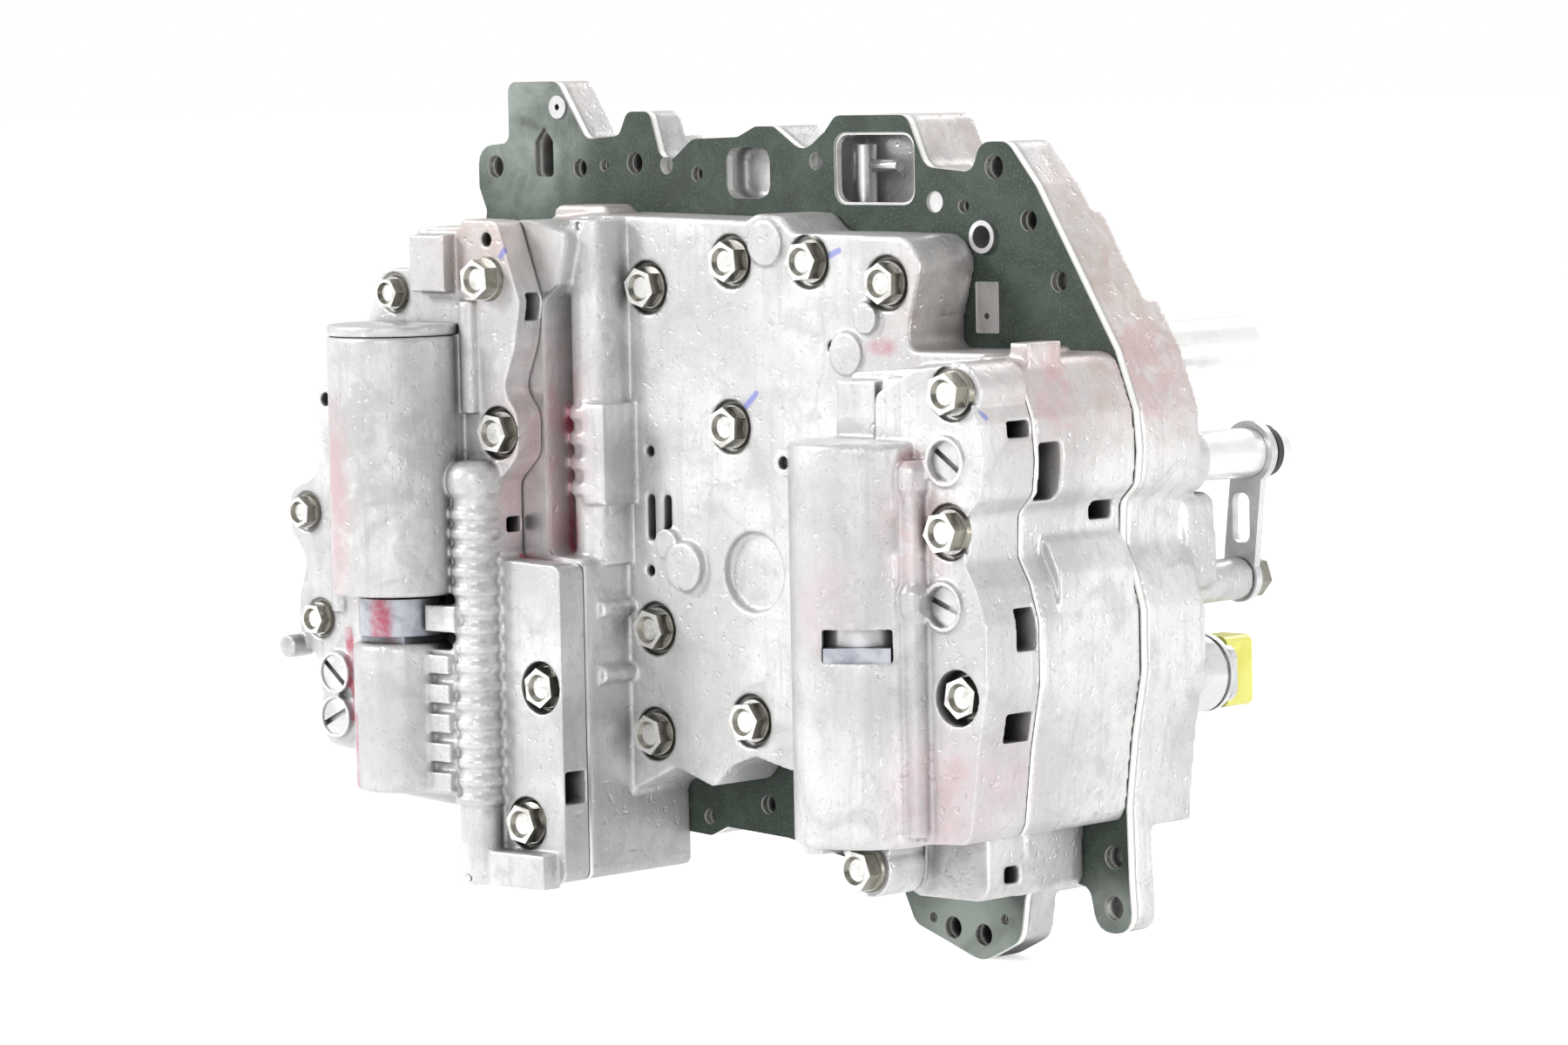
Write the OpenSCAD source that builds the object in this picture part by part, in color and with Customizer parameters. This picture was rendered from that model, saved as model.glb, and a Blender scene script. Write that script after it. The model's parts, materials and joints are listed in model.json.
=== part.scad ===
// Automatic transmission valve body: four aluminium castings clamped with gaskets and steel plates.
// X runs along the gasket face, -Y points out of the front castings, +Z is up.
// Heights are measured from the lowest lobe, and the whole part is then moved to its datum.

/* [Layers] */
// Thickness of each paper gasket
gasket_t = 0.6; // [0.4:0.1:1]
// Thickness of the steel separator plate
plate_t = 1.8; // [1:0.1:3]
// Thickness of the rear body
rear_t = 25; // [22:0.5:32]
// Height of the middle body's front face above the gasket
face_t = 24; // [20:0.5:30]
// Height of the middle body's side pads above the gasket
pad_t = 41; // [36:0.5:46]
// Thickness of the steel plates under the two front bodies
steel_t = 1.2; // [0.8:0.1:2]
// Thickness of the left body's bolting flats
left_t = 10; // [8:0.5:14]
// Thickness of the right body's bolting flats
right_t = 22; // [18:0.5:28]

/* [Reach] */
// Reach of the left side lug from the middle of the castings
left_reach = 141; // [139:0.5:144]
// Reach of the right flank from the middle of the castings
right_reach = 142; // [141:0.5:145]

/* [Bolts] */
// Shank radius of the flange bolts
bolt_r = 3; // [2.5:0.1:3.5]
// Radial clearance of the bolt holes
bolt_clear = 0.3; // [0.2:0.05:0.5]
// Radius of the bolt flange
flange_r = 6.5; // [5.8:0.1:7]
// Thickness of the bolt flange
flange_t = 1.3; // [0.8:0.1:2]
// Width across the flats of the hex head
hex_af = 10; // [8:0.1:11]
// Height of the hex head above its flange
hex_h = 4.6; // [3:0.1:6]
// Radius of the spotfaces around the bolt heads
spot_r = 7.6; // [7.2:0.1:9]
// Depth of the spotfaces in the middle body
spot_depth = 2.5; // [1.5:0.1:4]
// Length of thread in the body that a bolt screws into
thread_l = 14; // [8:0.5:16]

/* [Left accumulators] */
// Outer radius of the upper left cylinder
left_big_r = 20; // [19:0.2:21]
// Outer radius of the lower left cylinder
left_small_r = 14.5; // [13:0.2:16]
// Wall of the left cylinders
left_wall = 4.5; // [3.5:0.1:5.5]
// Height of the upper left cylinder's bottom
left_big_z = 105.7; // [104:0.2:108]
// Length of the upper left cylinder with its cap
left_big_l = 78; // [74:0.5:80]
// Thickness of the upper left cylinder's cap rim
cap_t = 3.2; // [2.5:0.1:4.5]
// Height of the lower left cylinder's bottom
left_small_z = 48.5; // [46:0.5:52]
// Length of the lower left cylinder
left_small_l = 43.2; // [41:0.2:45]

/* [Right accumulators] */
// Outer radius of the right cylinder
right_cyl_r = 20; // [19:0.2:21]
// Wall of the right cylinder
right_wall = 5; // [4:0.1:6]
// Height of the right cylinder's bottom
right_cyl_z = 46.8; // [45:0.2:49]
// Length of the right cylinder
right_cyl_l = 108.8; // [106:0.2:112]
// Height of the keeper slot's middle
slot_z = 99; // [97:0.5:101]
// Height of the keeper slot
slot_h = 9; // [7:0.2:11]
// Width of the keeper slot
slot_w = 19; // [16:0.5:22]
// Turn of the keeper slot about the cylinder
keeper_turn = 35; // [25:1:45]
// Thickness of the right keeper
keeper_t = 4; // [3:0.1:5]

/* [Pistons and springs] */
// Radial running clearance of pistons and spools
running = 0.05; // [0.02:0.01:0.1]
// Gap between a piston and its stop at rest
stop_gap = 0.3; // [0.2:0.05:0.5]
// Length of the long pistons
piston_l = 20; // [16:0.5:24]
// Length of the short left lower piston
short_piston_l = 12; // [10:0.5:13]
// Wall of the hollow pistons
piston_wall = 2.5; // [2:0.1:3.5]
// Thickness of the end plugs
plug_t = 5; // [4:0.1:7]
// Wire radius of the accumulator springs
acc_wire_r = 1.3; // [1:0.05:1.6]
// Turns of each spring
spring_turns = 5; // [4:1:7]

/* [Spool valves] */
// Bore radius of the shift and regulator valves
spool_bore_r = 4.8; // [4.2:0.1:5.2]
// Radius of the waists between the lands
waist_r = 2.8; // [2:0.1:3.4]
// Length of one land
land_l = 9; // [7:0.5:10]
// Wire radius of the spool springs
spool_wire_r = 0.7; // [0.5:0.05:0.9]
// Bore radius of the manual valve
manual_bore_r = 5; // [4.4:0.1:5.4]
// Length of the manual valve
manual_l = 88; // [80:1:95]

/* [Slotted plugs] */
// Head radius of the right slotted screw plugs
screw_plug_r = 5.5; // [5:0.1:6.2]
// Head radius of the left slotted screw plugs
left_plug_r = 5.2; // [4.6:0.1:5.6]
// Length of the slotted screw plugs
screw_plug_l = 9; // [7:0.5:11]

/* [Rear fittings] */
// Outer radius of the oil tubes
tube_r = 7; // [6:0.1:7.5]
// Wall of the oil tubes
tube_wall = 1.6; // [1:0.1:2.5]
// Length of oil tube that stands behind the rear body
tube_l = 44; // [40:0.5:48]
// Depth of the tube sockets
socket_depth = 12; // [8:0.5:16]
// Radius of the solenoid cans
can_r = 11; // [9:0.2:12]
// Length of the solenoid cans
can_l = 24; // [20:0.5:28]
// Length of the solenoid connectors
connector_l = 11; // [9:0.5:15]

/* [Hidden] */
$fn = 48;
cast_colour = [0.84, 0.83, 0.84];
steel_colour = [0.72, 0.73, 0.75];
zinc_colour = [0.78, 0.76, 0.68];
gasket_colour = [0.2, 0.25, 0.23];
rubber_colour = [0.1, 0.1, 0.1];
yellow_colour = [0.9, 0.85, 0.1];

// Planes across the stack, from the front to the back
y_plate = gasket_t;
y_rear_gasket = gasket_t + plate_t;
y_rear = 2 * gasket_t + plate_t;
y_back = y_rear + rear_t;
y_face = -face_t;
y_pad = -pad_t;
y_seam = y_pad - steel_t;
y_left = y_seam - left_t;
y_right = y_seam - right_t;
hole_r = bolt_r + bolt_clear;
cut = 1;
far = 300;

// Datum: midway between the two upper case bolt holes, on the gasket face
case_hole_r = 3.4;
case_left = [-104, 227];
case_right = [92, 227];
datum = [(case_left[0] + case_right[0]) / 2, 0, case_left[1]];

// Right flank that all layers share, from the top down: x, z, corner radius
right_edge = [[134.5, 177, 6], [140.5, 161, 6], [141.5, 150, 6], [140.5, 141, 4], [135.5, 136, 4],
    [135, 124, 5], [139, 117, 5], [right_reach, 107, 8], [right_reach, 90, 10], [138.5, 72, 10],
    [136, 52, 5]];

// Outline of the gaskets, the separator plate and the rear body
stack_edge = concat([[-98, 252, 3], [-77.5, 252, 4], [-66, 235, 4], [-52.5, 236, 3], [-49, 243, 3],
    [-40, 243, 3], [-36, 230, 3], [-31, 229, 3], [-23, 235, 5], [-5, 235.5, 4], [2, 238.5, 3],
    [9, 238.5, 3], [20.5, 231, 6], [29, 237, 3], [33, 241.5, 4], [60, 241.5, 4], [66.5, 227, 5],
    [84, 225.5, 4], [87, 234, 5], [97, 234, 5], [107, 222, 8]], right_edge,
    [[136.5, 32, 5], [137.5, 17, 6], [125, 17, 6], [122.5, 29, 4], [112, 31, 4], [99, 26, 4],
    [97, 12, 6], [83, 5, 8], [58, 14, 5], [52, 27, 5], [9.5, 34.5, 4], [-14.5, 36, 3], [-21, 33, 3],
    [-35, 34, 3], [-40, 46, 5], [-60, 42, 5], [-104, 46, 8], [-114, 60, 8], [-116, 120, 10],
    [-112, 190, 8], [-108, 214, 3], [-111, 221, 4], [-111, 233, 6], [-98, 234, 3]]);

// Outline of the middle body's front face
face_edge = concat([[-60, 212, 4], [-41, 214, 4], [20, 212.6, 3], [24, 214.5, 5], [33, 214, 5],
    [38, 209, 5], [54, 209, 4], [80, 208.5, 7], [85.5, 202, 7], [81, 186, 5], [80, 177, 4]], right_edge,
    [[134, 49, 3], [121, 48, 3], [120, 29, 4], [90, 28, 5], [72, 44, 5], [60, 57, 5], [32, 58, 4],
    [19, 61, 4], [9.7, 57.6, 3], [3, 51, 3], [-12, 56, 5], [-28, 48.5, 4], [-40, 30, 4], [-60, 30, 4]]);

// Height of the lug that holds the bolt above the left cap
cap_bolt_gap = 8.3;
side_lug_z = left_big_z + left_big_l + cap_bolt_gap;

// Left and lower outline that the left body, its plate and its pad share
left_side = [[-62, 22.5, 4], [-66, 43, 4], [-106, 46, 8], [-114, 57, 5], [-128, 58, 6], [-131, 84, 5],
    [-138, 89, 6], [-138, 101, 6], [-134, 113, 6], [-left_reach, 121, 6], [-left_reach, 133, 6],
    [-128, 138, 6], [-127, 164, 6], [-114, 172, 6], [-103, side_lug_z - 4, 6],
    [-101, side_lug_z + 7, 6], [-86, side_lug_z + 7, 4], [-84, 211, 3]];
left_pad_edge = concat(left_side, [[-50, 213, 3], [-33, 209, 3], [-37, 195, 3], [-43.5, 190, 3],
    [-43.5, 117, 3], [-29, 116, 3], [-29, 24, 3]]);
left_body_edge = concat(left_side, [[-66, 211.5, 3], [-65, 213.5, 2], [-51, 213, 3], [-42.5, 190, 4],
    [-45, 177, 6], [-50, 165, 6], [-44.5, 158, 5], [-44.5, 146, 6], [-53, 138, 4], [-53, 116, 2],
    [-29, 115, 3], [-29, 24, 3]]);

// Outline of the right pad, its plate and the base of the right body
right_pad_edge = concat([[79, 160, 4], [85, 173, 4], [118, 175, 4]], right_edge,
    [[134, 48.5, 3], [100, 47, 3], [99, 31, 5], [84, 31, 5], [76, 46, 5], [78, 100, 5]]);
right_flat_edge = concat([[104, 168, 4], [118, 175, 4]], right_edge, [[134, 48.5, 3], [104, 47, 4]]);

// Bolt places on the front faces: x, z
left_bolts = [[-55, 196.5], [-52.3, 152.4], [-37.6, 79.8], [-44.2, 40.4]];
left_bolt_sink = [0, 3, 5, 3];
side_bolts = [[-94, side_lug_z], [7.4 - left_reach, 126.8], [-129, 95.4]];
side_scale = 0.8;
middle_bolts = [[-19.3, 193.3], [13.7, 201.1], [43.5, 201.4], [72.7, 195.7], [12.4, 154.3], [-18.7, 95.4],
    [-19.6, 65], [18.1, 71]];
right_bolts = [[131.5, 169], [129.7, 132], [131.5, 87.7]];
right_bolt_sink = [2, 2, 7];
right_foot_bolt = [93, 38.5];
foot_lug_t = 16;

// Slotted screw plugs: x, z
left_plugs = [[-121, 79.8], [-121, 66.8]];
right_plugs = [[129.3, 150.8], [127.8, 112]];

// Cylinder axes: x, y
left_axis_out = 17.8;
right_axis_out = right_cyl_r + 0.8;
shift_axis_out = 12.8;
regulator_axis_out = 5;
manual_axis_in = 9;
left_axis = [-85.5, y_seam - left_axis_out];
right_axis = [98, y_seam - right_axis_out];
shift_axis = [-59.5, y_seam - shift_axis_out];
regulator_axis = [-34, y_face - regulator_axis_out];
manual_axis = [33, y_rear + manual_axis_in];

// Accumulator spaces
left_big_bore = left_big_r - left_wall;
left_small_bore = left_small_r - left_wall;
right_bore = right_cyl_r - right_wall;
left_big_floor = left_big_z + left_wall;
left_big_top = left_big_z + left_big_l - cap_t;
left_small_floor = left_small_z + left_wall;
left_small_top = left_small_z + left_small_l;
right_top = right_cyl_z + right_cyl_l;
right_roof = right_top - right_wall;
snap_t = 1.6;
snap_depth = 1.2;
snap_inset = 3;
right_lower_plug_z = right_cyl_z + snap_inset;
keeper_clear = 0.1;
cap_clear = 0.3;
spring_clear = 0.4;

// Spool valve spaces
shift_z = 22.5;
shift_top = 138;
regulator_z = 122;
regulator_top = 213;
spool_plug_l = 7;
clip_r = 1.2;
manual_top = 233;
manual_neck_r = 3.6;
manual_pin_r = 1.8;
manual_pin_l = 17;
manual_pin_z = 227;
cavity_z = [213, 236];
cavity_x = [26, 62];
cavity_depth = 18;
bore_bottom = 128;

// Oil holes of the plate: x, z, radius, depth of the passage behind in the rear body
plate_holes = [[-68.7, 226.6, 2.8, 8], [-58.7, 227.4, 1.8, 8], [-46.3, 228.1, 3.2, 7], [-33.4, 227.4, 2.6, 1],
    [-21.3, 224.9, 2.2, 8], [25.4, 228.6, 2.6, 3], [80.6, 216.1, 2, 8], [104.3, 212.3, 3, 8],
    [114.9, 195.7, 3, 3], [131.2, 38, 3.2, 3], [72, 13.8, 3.2, 8], [83.3, 12.6, 3.2, 8], [64.5, 16, 1.6, 6],
    [91, 17.5, 1.6, 6], [-21.4, 38.4, 2.2, 2], [1.9, 43.5, 2.8, 8]];
low_ear = [131, 24];
case_holes = [case_left, case_right, low_ear];
window_r = 4;
left_window = [[-9.5, 218], [7.5, 232.5]];
key_window = [[-87.5, 224, 1.5], [-87.5, 234.4, 1], [-83.4, 239.2, 1], [-79.6, 234.4, 1],
    [-79.6, 224, 1.5]];
orifice_window = [[84.5, 181], [93, 195.3]];
drop_window = [70, 217.3];
dowel = [88, 207.7];
dowel_low = [-100, 120];
dowel_r = 4.6;
dowel_wall = 1.4;
dowel_l = 10;
rivet_places = [[-77, 244.5], [45, 46]];
rivet_r = 1.6;
rivet_head_r = 3.4;
rivet_head_t = 0.7;
ball_r = 2.5;
ball_places = [[-5, 180], [40, 150], [60, 90], [-60, 120], [-90, 80], [110, 90]];
pocket_depth = 6;

// Rear fittings: x, z
upper_tube = [120, 176];
lower_tube = [131, 145.5];
boss_place = [127, 110];
boss_r = 6;
strip_half = 5.5;
retainer_t = 2.5;
seal_inset = 6;
retainer_gap = 2.5;
boss_l = tube_l - seal_inset - retainer_gap - retainer_t;
seal_y = y_back + tube_l - seal_inset;
groove_w = 2.4;
groove_depth = 1.2;
lower_solenoid_place = [122, 84];
upper_solenoid_place = [88, 84];
strap_t = 2;
plug_recess = 0.8;

// Small cast bosses on the front: x, z
left_tip_boss = [-119.4, 160.6];
right_small_boss = [83, 149.8];
front_pocket = [20.3, 113.4];
orifice = [88, 185.7];

// Openings in the right flank: front, low, back, high
right_windows = [[y_seam - 10, 156.5, y_seam - 1, 161], [y_seam - 9, 99.5, y_seam - 1, 111],
    [y_seam - 12, 75, y_seam - 1.5, 83]];
middle_windows = [[y_pad + 1, 139, y_pad + 10, 154.5], [-13, 132, -3.5, 137]];
flank_x = 121;
// Openings in the left body's inner flank: front, low, back, high, depth end
left_windows = [[y_seam - 6.5, 184.5, y_seam - 1, 192.5, -54], [y_seam - 6.5, 123.5, y_seam - 1, 128, -64],
    [y_seam - 9, 46.5, y_seam - 1, 56, -38]];

// Pockets and steps in the back of the rear body: two corners, then what is left of the thickness
rear_pockets = [[[-95, 60], [-72, 108]], [[-62, 60], [-36, 108]], [[-98, 125], [-72, 180]],
    [[-62, 125], [-36, 180]], [[-26, 80], [8, 140]], [[-26, 150], [8, 190]], [[20, 60], [60, 110]]];
pocket_floor = 7;
rear_steps = [[[-120, 216], [-56, 260], 12], [[-57, 225], [-38, 260], 10], [[-39, 216], [17, 260], 17],
    [[67, 214], [112, 260], 16], [[104, 190], [150, 260], 20], [[117, 8], [145, 46], 8]];
left_window_depth = 5;
key_window_depth = 9;

// Solenoids and the post between them
nose_r = 7;
nose_l = 10;
post_r = 5;
solenoids = [lower_solenoid_place, upper_solenoid_place];
strap_post = (lower_solenoid_place + upper_solenoid_place) / 2;

// Pistons, springs, plugs and keepers
acc_spring_r = left_big_bore - running - piston_wall - spring_clear - acc_wire_r;
short_spring_r = left_small_bore - running - piston_wall - spring_clear - acc_wire_r;
right_spring_r = right_bore - running - piston_wall - spring_clear - acc_wire_r;
piston_floor = 4;
short_piston_z = left_small_top - plug_t - stop_gap - short_piston_l;
left_keeper_t = 2.5;
keeper_block_r = 12.6;
keeper_gap = 1.1;
right_piston_z = right_roof - stop_gap - piston_l;
plug_low = slot_z - keeper_t / 2 - plug_t;
plug_high = slot_z + keeper_t / 2 + plug_t;
plug_waist_r = 7;
keeper_front = right_axis[1] - right_cyl_r + 2;
keeper_back = right_axis[1] + right_bore + 2;
lower_piston_z = plug_low - stop_gap - piston_l;

// Spools and their plugs
spool_r = spool_bore_r - running;
spool_spring_r = spool_bore_r - spring_clear - spool_wire_r;
spool_lands = 4;
plug_sink = 3;
shift_plug_top = shift_z + plug_sink + spool_plug_l;
shift_spool_z = shift_plug_top + stop_gap;
regulator_plug_z = regulator_top - plug_sink - spool_plug_l;

function unit(v) = v / norm(v);
function turn_side(a, b) = sign(a[0] * b[1] - a[1] * b[0]);
function corner_arc(before, corner, after, r, steps) =
    let (a = unit([before[0] - corner[0], before[1] - corner[1]]),
         b = unit([after[0] - corner[0], after[1] - corner[1]]),
         half = acos(a * b) / 2,
         room = 0.45 * min(norm([before[0] - corner[0], before[1] - corner[1]]),
             norm([after[0] - corner[0], after[1] - corner[1]])),
         radius = min(r, room * tan(half)),
         centre = [corner[0], corner[1]] + unit(a + b) * radius / sin(half),
         start = [corner[0], corner[1]] + a * radius / tan(half) - centre,
         sweep = turn_side(a, b) * -(180 - 2 * half))
    [for (i = [0:steps]) let (t = sweep * i / steps)
        centre + [start[0] * cos(t) - start[1] * sin(t), start[0] * sin(t) + start[1] * cos(t)]];
function rounded(points, steps = 4) = [for (i = [0:len(points) - 1])
    each corner_arc(points[(i + len(points) - 1) % len(points)], points[i],
        points[(i + 1) % len(points)], points[i][2], steps)];

// Flat shape drawn in X and Z, filled from one plane to another
module slab(front, back) {
    translate([0, back, 0]) rotate([90, 0, 0]) linear_extrude(back - front) children();
}

module rod_y(place, r, front, back) {
    translate([place[0], back, place[1]]) rotate([90, 0, 0]) cylinder(r = r, h = back - front);
}

module rod_z(axis, r, low, high) {
    translate([axis[0], axis[1], low]) cylinder(r = r, h = high - low);
}

module box(low, high) {
    translate(low) cube(high - low);
}

module rounded_rect(corners, r) {
    polygon(rounded([[corners[0][0], corners[0][1], r], [corners[1][0], corners[0][1], r],
        [corners[1][0], corners[1][1], r], [corners[0][0], corners[1][1], r]]));
}

module place() {
    translate(-datum) children();
}

// Hex flange bolt along Y with its flange seated at the given plane
module flange_bolt(place, seat, shank, size = 1) {
    head = flange_t + hex_h;
    translate([place[0], seat, place[1]]) rotate([90, 0, 0]) {
        difference() {
            union() {
                cylinder(r1 = flange_r * size, r2 = flange_r * size - 0.5, h = flange_t);
                rotate([0, 0, place[0] * 7]) cylinder(d = hex_af * size / cos(30), h = head * size, $fn = 6);
            }
            translate([0, 0, head * size - 1.2])
                cylinder(r1 = hex_af * size * 0.3, r2 = hex_af * size * 0.4, h = 1.3);
        }
        translate([0, 0, -shank]) cylinder(r = bolt_r * size, h = shank);
    }
}

// Coil spring along Z as one swept tube
module coil(axis, low, high, r, wire) {
    sides = 6;
    per_turn = 12;
    rings = per_turn * spring_turns;
    rise = high - low - 2 * wire;
    points = [for (i = [0:rings]) for (k = [0:sides - 1])
        let (a = 360 * i / per_turn, b = 360 * k / sides, q = r + wire * cos(b))
        [q * cos(a), q * sin(a), wire + rise * i / rings + wire * sin(b)]];
    walls = [for (i = [0:rings - 1]) for (k = [0:sides - 1])
        let (n = (k + 1) % sides, a = i * sides, b = a + sides)
        each [[a + k, b + k, b + n], [a + k, b + n, a + n]]];
    first = [for (k = [0:sides - 1]) k];
    last = [for (k = [0:sides - 1]) rings * sides + sides - 1 - k];
    translate([axis[0], axis[1], low]) polyhedron(points, concat([first], walls, [last]));
}

// Ridged outside of a cast valve bore: rings of two radii on one axis
module ridged_barrel(axis, low, high, r, ridge, pitch) {
    count = floor((high - low) / pitch);
    translate([axis[0], axis[1], 0]) rotate_extrude()
        polygon(concat([[0, low]], [for (i = [0:count - 1]) each [[r, low + i * pitch],
            [r, low + (i + 0.35) * pitch], [r + ridge, low + (i + 0.5) * pitch],
            [r + ridge, low + (i + 0.85) * pitch]]], [[r, low + count * pitch], [r, high], [0, high]]));
}

// Closed cylinder with rounded rims, standing along Z
module rounded_barrel(axis, r, low, high, rim) {
    translate([axis[0], axis[1], low]) rotate_extrude()
        polygon(concat([[0, 0]], [for (i = [0:4]) [r - rim + rim * sin(22.5 * i), rim - rim * cos(22.5 * i)]],
            [for (i = [0:4]) [r - rim + rim * cos(22.5 * i), high - low - rim + rim * sin(22.5 * i)]],
            [[0, high - low]]));
}

// Hollow piston with two seal grooves, open at the top, or at the bottom when turned over
module piston(axis, r, low, l, over = false) {
    floor_t = 4;
    groove = 1.4;
    translate([axis[0], axis[1], over ? low + l : low]) mirror([0, 0, over ? 1 : 0]) difference() {
        cylinder(r = r - running, h = l);
        translate([0, 0, floor_t]) cylinder(r = r - running - piston_wall, h = l);
        for (z = [l * 0.3, l * 0.6]) translate([0, 0, z]) difference() {
            cylinder(r = r + cut, h = groove);
            translate([0, 0, -cut]) cylinder(r = r - running - groove * 0.6, h = groove + 2 * cut);
        }
    }
}

// Spool with round lands on a thin waist, standing along Z
module spool(axis, r, low, lands) {
    waist_l = land_l * 0.65;
    translate([axis[0], axis[1], low]) {
        for (i = [0:lands - 1]) translate([0, 0, i * (land_l + waist_l)]) cylinder(r = r, h = land_l);
        for (i = [0:lands - 2]) translate([0, 0, i * (land_l + waist_l) + land_l - 0.01])
            cylinder(r = waist_r, h = waist_l + 0.02);
    }
}

function spool_length(lands) = lands * land_l + (lands - 1) * land_l * 0.65;

// Screw plug along Y with a straight driver slot
module slotted_plug(place, r, front) {
    slot = 1.6;
    difference() {
        rod_y(place, r, front, front + screw_plug_l);
        translate([place[0], front, place[1]]) rotate([0, place[1] * 5, 0])
            translate([-r - cut, -cut, -slot / 2]) cube([2 * r + 2 * cut, slot + cut, slot]);
    }
}

module bolt_holes(places, front, back) {
    for (p = places) rod_y(p, hole_r, front, back);
}

module spotfaces(places, front, depth) {
    for (i = [0:len(places) - 1]) rod_y(places[i], spot_r, front - 30, front + depth[i]);
}

module check_pockets() {
    for (p = ball_places) rod_y(p, ball_r + 0.7, -pocket_depth, cut);
}

module left_pads() {
    slab(y_pad, 0) polygon(rounded(left_pad_edge));
}

// Cast bulge that holds the regulator valve on the front face
module regulator_bulge() {
    bulge_r = 7.6;
    rod_z(regulator_axis, bulge_r, 114, regulator_top);
    ridged_barrel(regulator_axis, 131, 161, bulge_r, 1.3, 7.2);
    box([regulator_axis[0] - bulge_r + 0.4, regulator_axis[1], 114.5],
        [regulator_axis[0] + bulge_r - 0.4, y_face + cut, regulator_top - 0.5]);
    box([regulator_axis[0] + 0.5, regulator_axis[1] - bulge_r - 0.8, 131.5],
        [regulator_axis[0] + bulge_r + 1.6, y_face + cut, 160.5]);
}

module middle_details() {
    // Rounded ribs on the inner flank of the left pad
    for (z = [82.6, 101.5]) rod_y([-28.4, z], 2.4, y_pad + 4, y_face + cut);
    // Curved cast passage beside the round pocket
    rod_y([-5, 114], 7, y_face - 3, y_face + cut);
    rod_y([-12, 120], 4.5, y_face - 2, y_face + cut);
    rod_y([28, 206.5], 6.6, y_face - 1.5, y_face + cut);
    rod_y([58, 176], 6, y_face - 1.5, y_face + cut);
    rod_y([66, 186], 4.4, y_face - 2.2, y_face + cut);
    // Lump on the top edge over the left pad
    slab(-20, -8) polygon(rounded([[-60, 205, 2], [-60, 216.5, 3], [-38, 216.5, 3], [-38, 205, 2]]));
    // Post and flat bosses on the right pad's upper corner
    box([129, y_pad + 3.6, 156], [135.4, y_face + 0.6, 181]);
    rod_z([124, y_pad + 6.5], 6, 160, 177.5);
    rod_z([121, -14], 7, 160, 178.5);
}

module middle_body() {
    color(cast_colour) difference() {
        union() {
            slab(y_face, 0) polygon(rounded(face_edge));
            left_pads();
            slab(y_pad, 0) polygon(rounded(right_pad_edge));
            slab(y_pad + 0.7, 0) polygon(rounded([[92, 50, 3], [120.4, 49, 3], [120.4, 29.2, 4],
                [92, 29.2, 4]]));
            regulator_bulge();
            middle_details();
            // Shoulder on the flank under the second window
            slab(y_pad + 8, -1.5) polygon(rounded([[118, 104, 2], [118, 129.5, 4], [137, 129.5, 7],
                [141.6, 119, 6], [141.6, 104, 4]]));
        }
        bolt_holes(middle_bolts, y_face - cut, cut);
        spotfaces(middle_bolts, y_face, [for (b = middle_bolts) spot_depth]);
        bolt_holes(concat(left_bolts, side_bolts), y_pad - cut, y_pad + thread_l + cut);
        bolt_holes(concat(right_bolts, [right_foot_bolt]), y_pad - cut, y_pad + thread_l + cut);
        rod_z(regulator_axis, spool_bore_r, regulator_z, regulator_top + cut);
        regulator_clip_cut(clip_r + 0.02);
        check_pockets();
        // Round pocket, small holes and grooves of the front face
        rod_y(front_pocket, 11.4, y_face - 5, y_face + 3);
        for (p = [[-19.6, 146.4], [51.8, 177.8], [-20.3, 112.1]]) rod_y(p, 1.6, y_face - cut, y_face + 6);
        for (x = [-19.5, -13]) box([x - 1.4, y_face - cut, 121], [x + 1.4, y_face + 5, 134]);
        for (w = middle_windows) box([flank_x, w[0], w[1]], [150, w[2], w[3]]);
        box([112, -33, 33.5], [130, -27, 38]);
        rod_y(dowel_low, dowel_r, -dowel_l / 2, cut);
    }
}

module left_passages() {
    // Cast tubes, blocks and steps on the front of the left body
    rod_z([-70, y_left - 1], 4, 140, 190);
    rod_z([-62.5, y_left], 3.2, 158, 190);
    ridged_barrel(shift_axis, 43, 134, 6.4, 1, 5.5);
    rounded_barrel(shift_axis, 8.2, 132.5, 144.5, 5);
    rod_z(shift_axis, 6.6, shift_z, 44);
    box([-72, y_left - 12, 95.5], [-60, y_left + cut, 103]);
    box([-73, y_left - 9.5, 48], [-63, y_left + cut, 90]);
    for (z = [52, 60.5, 69, 77.5, 86]) box([-73.5, y_left - 12, z - 2.7], [-63, y_left + cut, z + 2.7]);
    box([-63, y_left - 6, 22.5], [-32, y_left + cut, 32.4]);
    rod_y(left_tip_boss, 4.2, y_left - 5, y_left + cut);
    rod_y([2.5 - left_reach, 86.9], 3.4, y_left - 5, y_left + 4);
    for (p = left_plugs) rod_y(p, left_plug_r + 1, y_left - 3, y_left + cut);
    box([-82, y_left - 5, 186], [-68, y_left + cut, 209]);
    rod_z([-120, y_left + 1], 3.4, 98, 124);
}

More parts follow.
